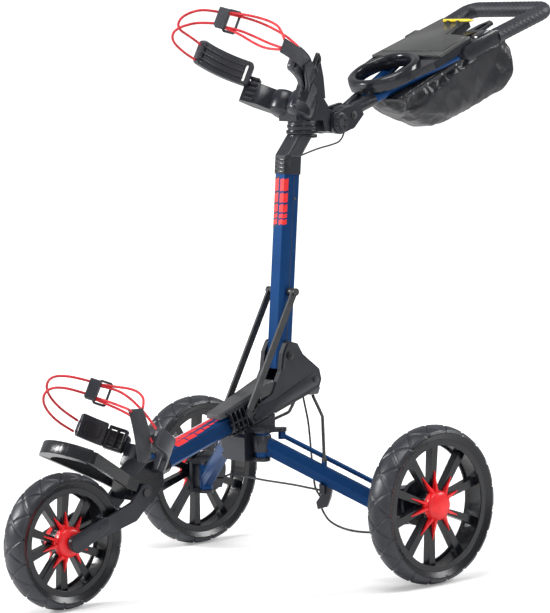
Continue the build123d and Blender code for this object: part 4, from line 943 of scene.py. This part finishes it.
# combed hinge blocks that carry the upper pads
hinge = {"start": 30, "end": 38.5, "low": 740, "high": 788, "radius": 129, "thick": 13, "teeth": 5, "pitch": 10.5}
for side, tag in bothSides:
    block = onArc(hinge["start"] + 1, hinge["end"] - 1, hinge["low"] + 3, hinge["high"] - 3, hinge["radius"], 1.5)
    bentBlock("padHinge" + tag, side, hinge["radius"], hinge["thick"], [block], "black", "mast")
    for i in range(hinge["teeth"]):
        low = hinge["low"] + hinge["pitch"] * i
        bentBlock(f"padHingeTooth{tag}{i + 1}", side, hinge["radius"], hinge["thick"] + 4,
                  [onArc(hinge["start"], hinge["end"], low, low + 5, hinge["radius"], 1)], "charcoal", "mast", 0.5)
# backing under the near upper strap and its buckle
backing = {"radius": 131, "edge": [(12, 742), (30, 744), (44, 756), (66, 770), (72, 784), (64, 800), (40, 806),
                                   (22, 800), (10, 786)]}
bentBlock("strapBacking", 1, backing["radius"], 8,
          [[(math.radians(a) * backing["radius"], w) for a, w in backing["edge"]]], "charcoal", "mast", 2)
print("details made")

# accessory bag under the console, filled like cloth
bag = {"half": 60, "crease": 2.4, "voxel": 0.005, "pressure": 3.0, "slack": -0.07, "limit": 0.009, "frames": 20,
       "edge": [(128, -10.6), (168, -62), (218, -122), (300, -132), (404, -131), (438, -114), (458, -68),
                (451, -36), (426, -14), (300, -10.6)]}
bm = bmesh.new()
face = bm.faces.new([bm.verts.new((-bag["half"], v, h)) for v, h in bag["edge"]])
pushFace(bm, face, (2 * bag["half"], 0, 0))
faceOutward(bm)
lowEdges = [e for e in bm.edges if min(v.co.z for v in e.verts) < -12]
for v in bm.verts:
    # the bottom narrows towards the front
    deep = min(1, max(0, (-v.co.z - 20) / 90))
    front = min(1, max(0, (430 - v.co.y) / 200))
    v.co.x *= 1 - 0.6 * deep * front
bmesh.ops.bevel(bm, geom=lowEdges, offset=7, segments=3, profile=0.5, affect="EDGES", material=-1,
                clamp_overlap=True)
pouch = finishPiece("accessoryPouch", bm, "nylon", "handle", 60, handleFrame)
remesh = pouch.modifiers.new("remesh", "REMESH")
remesh.mode = "VOXEL"
remesh.voxel_size = bag["voxel"]
bakeModifiers(pouch)
toHandle = handleFrame.inverted()
start = [v.co.copy() for v in pouch.data.vertices]
held = pouch.vertex_groups.new(name="held")
held.add([i for i, co in enumerate(start) if (toHandle @ co).z > -17], 1.0, "REPLACE")
cloth = pouch.modifiers.new("cloth", "CLOTH")
cloth.settings.quality = 5
cloth.settings.mass = 0.2
cloth.settings.tension_stiffness = 25
cloth.settings.compression_stiffness = 25
cloth.settings.shear_stiffness = 8
cloth.settings.bending_stiffness = 0.4
cloth.settings.use_pressure = True
cloth.settings.uniform_pressure_force = bag["pressure"]
cloth.settings.shrink_min = bag["slack"]
cloth.settings.vertex_group_mass = "held"
cloth.settings.effector_weights.gravity = 0
cloth.point_cache.frame_start, cloth.point_cache.frame_end = 1, bag["frames"]
for step in range(1, bag["frames"] + 1):
    bpy.context.scene.frame_set(step)
bakeModifiers(pouch)
bpy.context.scene.frame_set(1)
for v, before in zip(pouch.data.vertices, start):
    move = v.co - before
    if move.length > bag["limit"]:
        v.co = before + move.normalized() * bag["limit"]
# soft creases, deeper away from the hem
creases = []
for v in pouch.data.vertices:
    place = toHandle @ v.co
    spot = Vector((place.x / 60, (place.y + 0.35 * place.z) / 30, place.z / 95))
    ridges = [(1 - abs(noise.noise(spot * size + Vector((size, 3, 1))))) ** 4 - 0.45 for size in (1, 2.2)]
    deep = min(1, max(0, (-place.z - 22) / 40))
    creases.append(v.normal * (bag["crease"] * (ridges[0] + 0.45 * ridges[1]) * deep * mm))
for v, move in zip(pouch.data.vertices, creases):
    v.co += move
pouch.vertex_groups.clear()
for polygon in pouch.data.polygons:
    polygon.use_smooth = True
finer = pouch.modifiers.new("finer", "SUBSURF")
finer.levels = finer.render_levels = 1
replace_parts(pouch, "accessory_bag")
print("pouch made")

# floor and background
bm = bmesh.new()
bmesh.ops.create_grid(bm, x_segments=2, y_segments=2, size=60)
floorMesh = bpy.data.meshes.new("floor")
bm.to_mesh(floorMesh)
bm.free()
floor = addObject("floor", floorMesh)
floorFinish = newMaterial("floorPaint", (0.93, 0.93, 0.93), 0.8)
addTint(floorFinish, (0.925, 0.925, 0.925), (0.94, 0.94, 0.94), 2)
floorSeen = addNode(floorFinish, "ShaderNodeLightPath")
floorGain = addNode(floorFinish, "ShaderNodeMath", operation="MULTIPLY")
floorFar = addNode(floorFinish, "ShaderNodeVectorMath", operation="LENGTH")
floorShare = addNode(floorFinish, "ShaderNodeMapRange")
for socket, value in (("From Min", 1.0), ("From Max", 3.4), ("To Min", 0.26), ("To Max", 0.85)):
    floorShare.inputs[socket].default_value = value
joinNodes(floorFinish, (objectSpot(floorFinish), floorFar.inputs[0]),
          (floorFar.outputs["Value"], floorShare.inputs["Value"]), (floorShare.outputs["Result"], floorGain.inputs[1]))
shaderOf(floorFinish).inputs["Emission Color"].default_value = (1, 1, 1, 1)
joinNodes(floorFinish, (floorSeen.outputs["Is Camera Ray"], floorGain.inputs[0]),
          (floorGain.outputs[0], shaderOf(floorFinish).inputs["Emission Strength"]))
floorMesh.materials.append(floorFinish)
world = bpy.data.worlds.new("studio")
bpy.context.scene.world = world
world.use_nodes = True
sky = world.node_tree
glow, lit, paths, mix = (sky.nodes["Background"], sky.nodes.new("ShaderNodeBackground"),
                         sky.nodes.new("ShaderNodeLightPath"), sky.nodes.new("ShaderNodeMixShader"))
glow.inputs["Color"].default_value = (1, 1, 1, 1)
glow.inputs["Strength"].default_value = 0.4
lit.inputs["Color"].default_value = (1, 1, 1, 1)
lit.inputs["Strength"].default_value = 1.2
sky.links.new(paths.outputs["Is Camera Ray"], mix.inputs[0])
sky.links.new(glow.outputs[0], mix.inputs[1])
sky.links.new(lit.outputs[0], mix.inputs[2])
sky.links.new(mix.outputs[0], sky.nodes["World Output"].inputs["Surface"])
bpy.context.scene.view_settings.view_transform = "Standard"
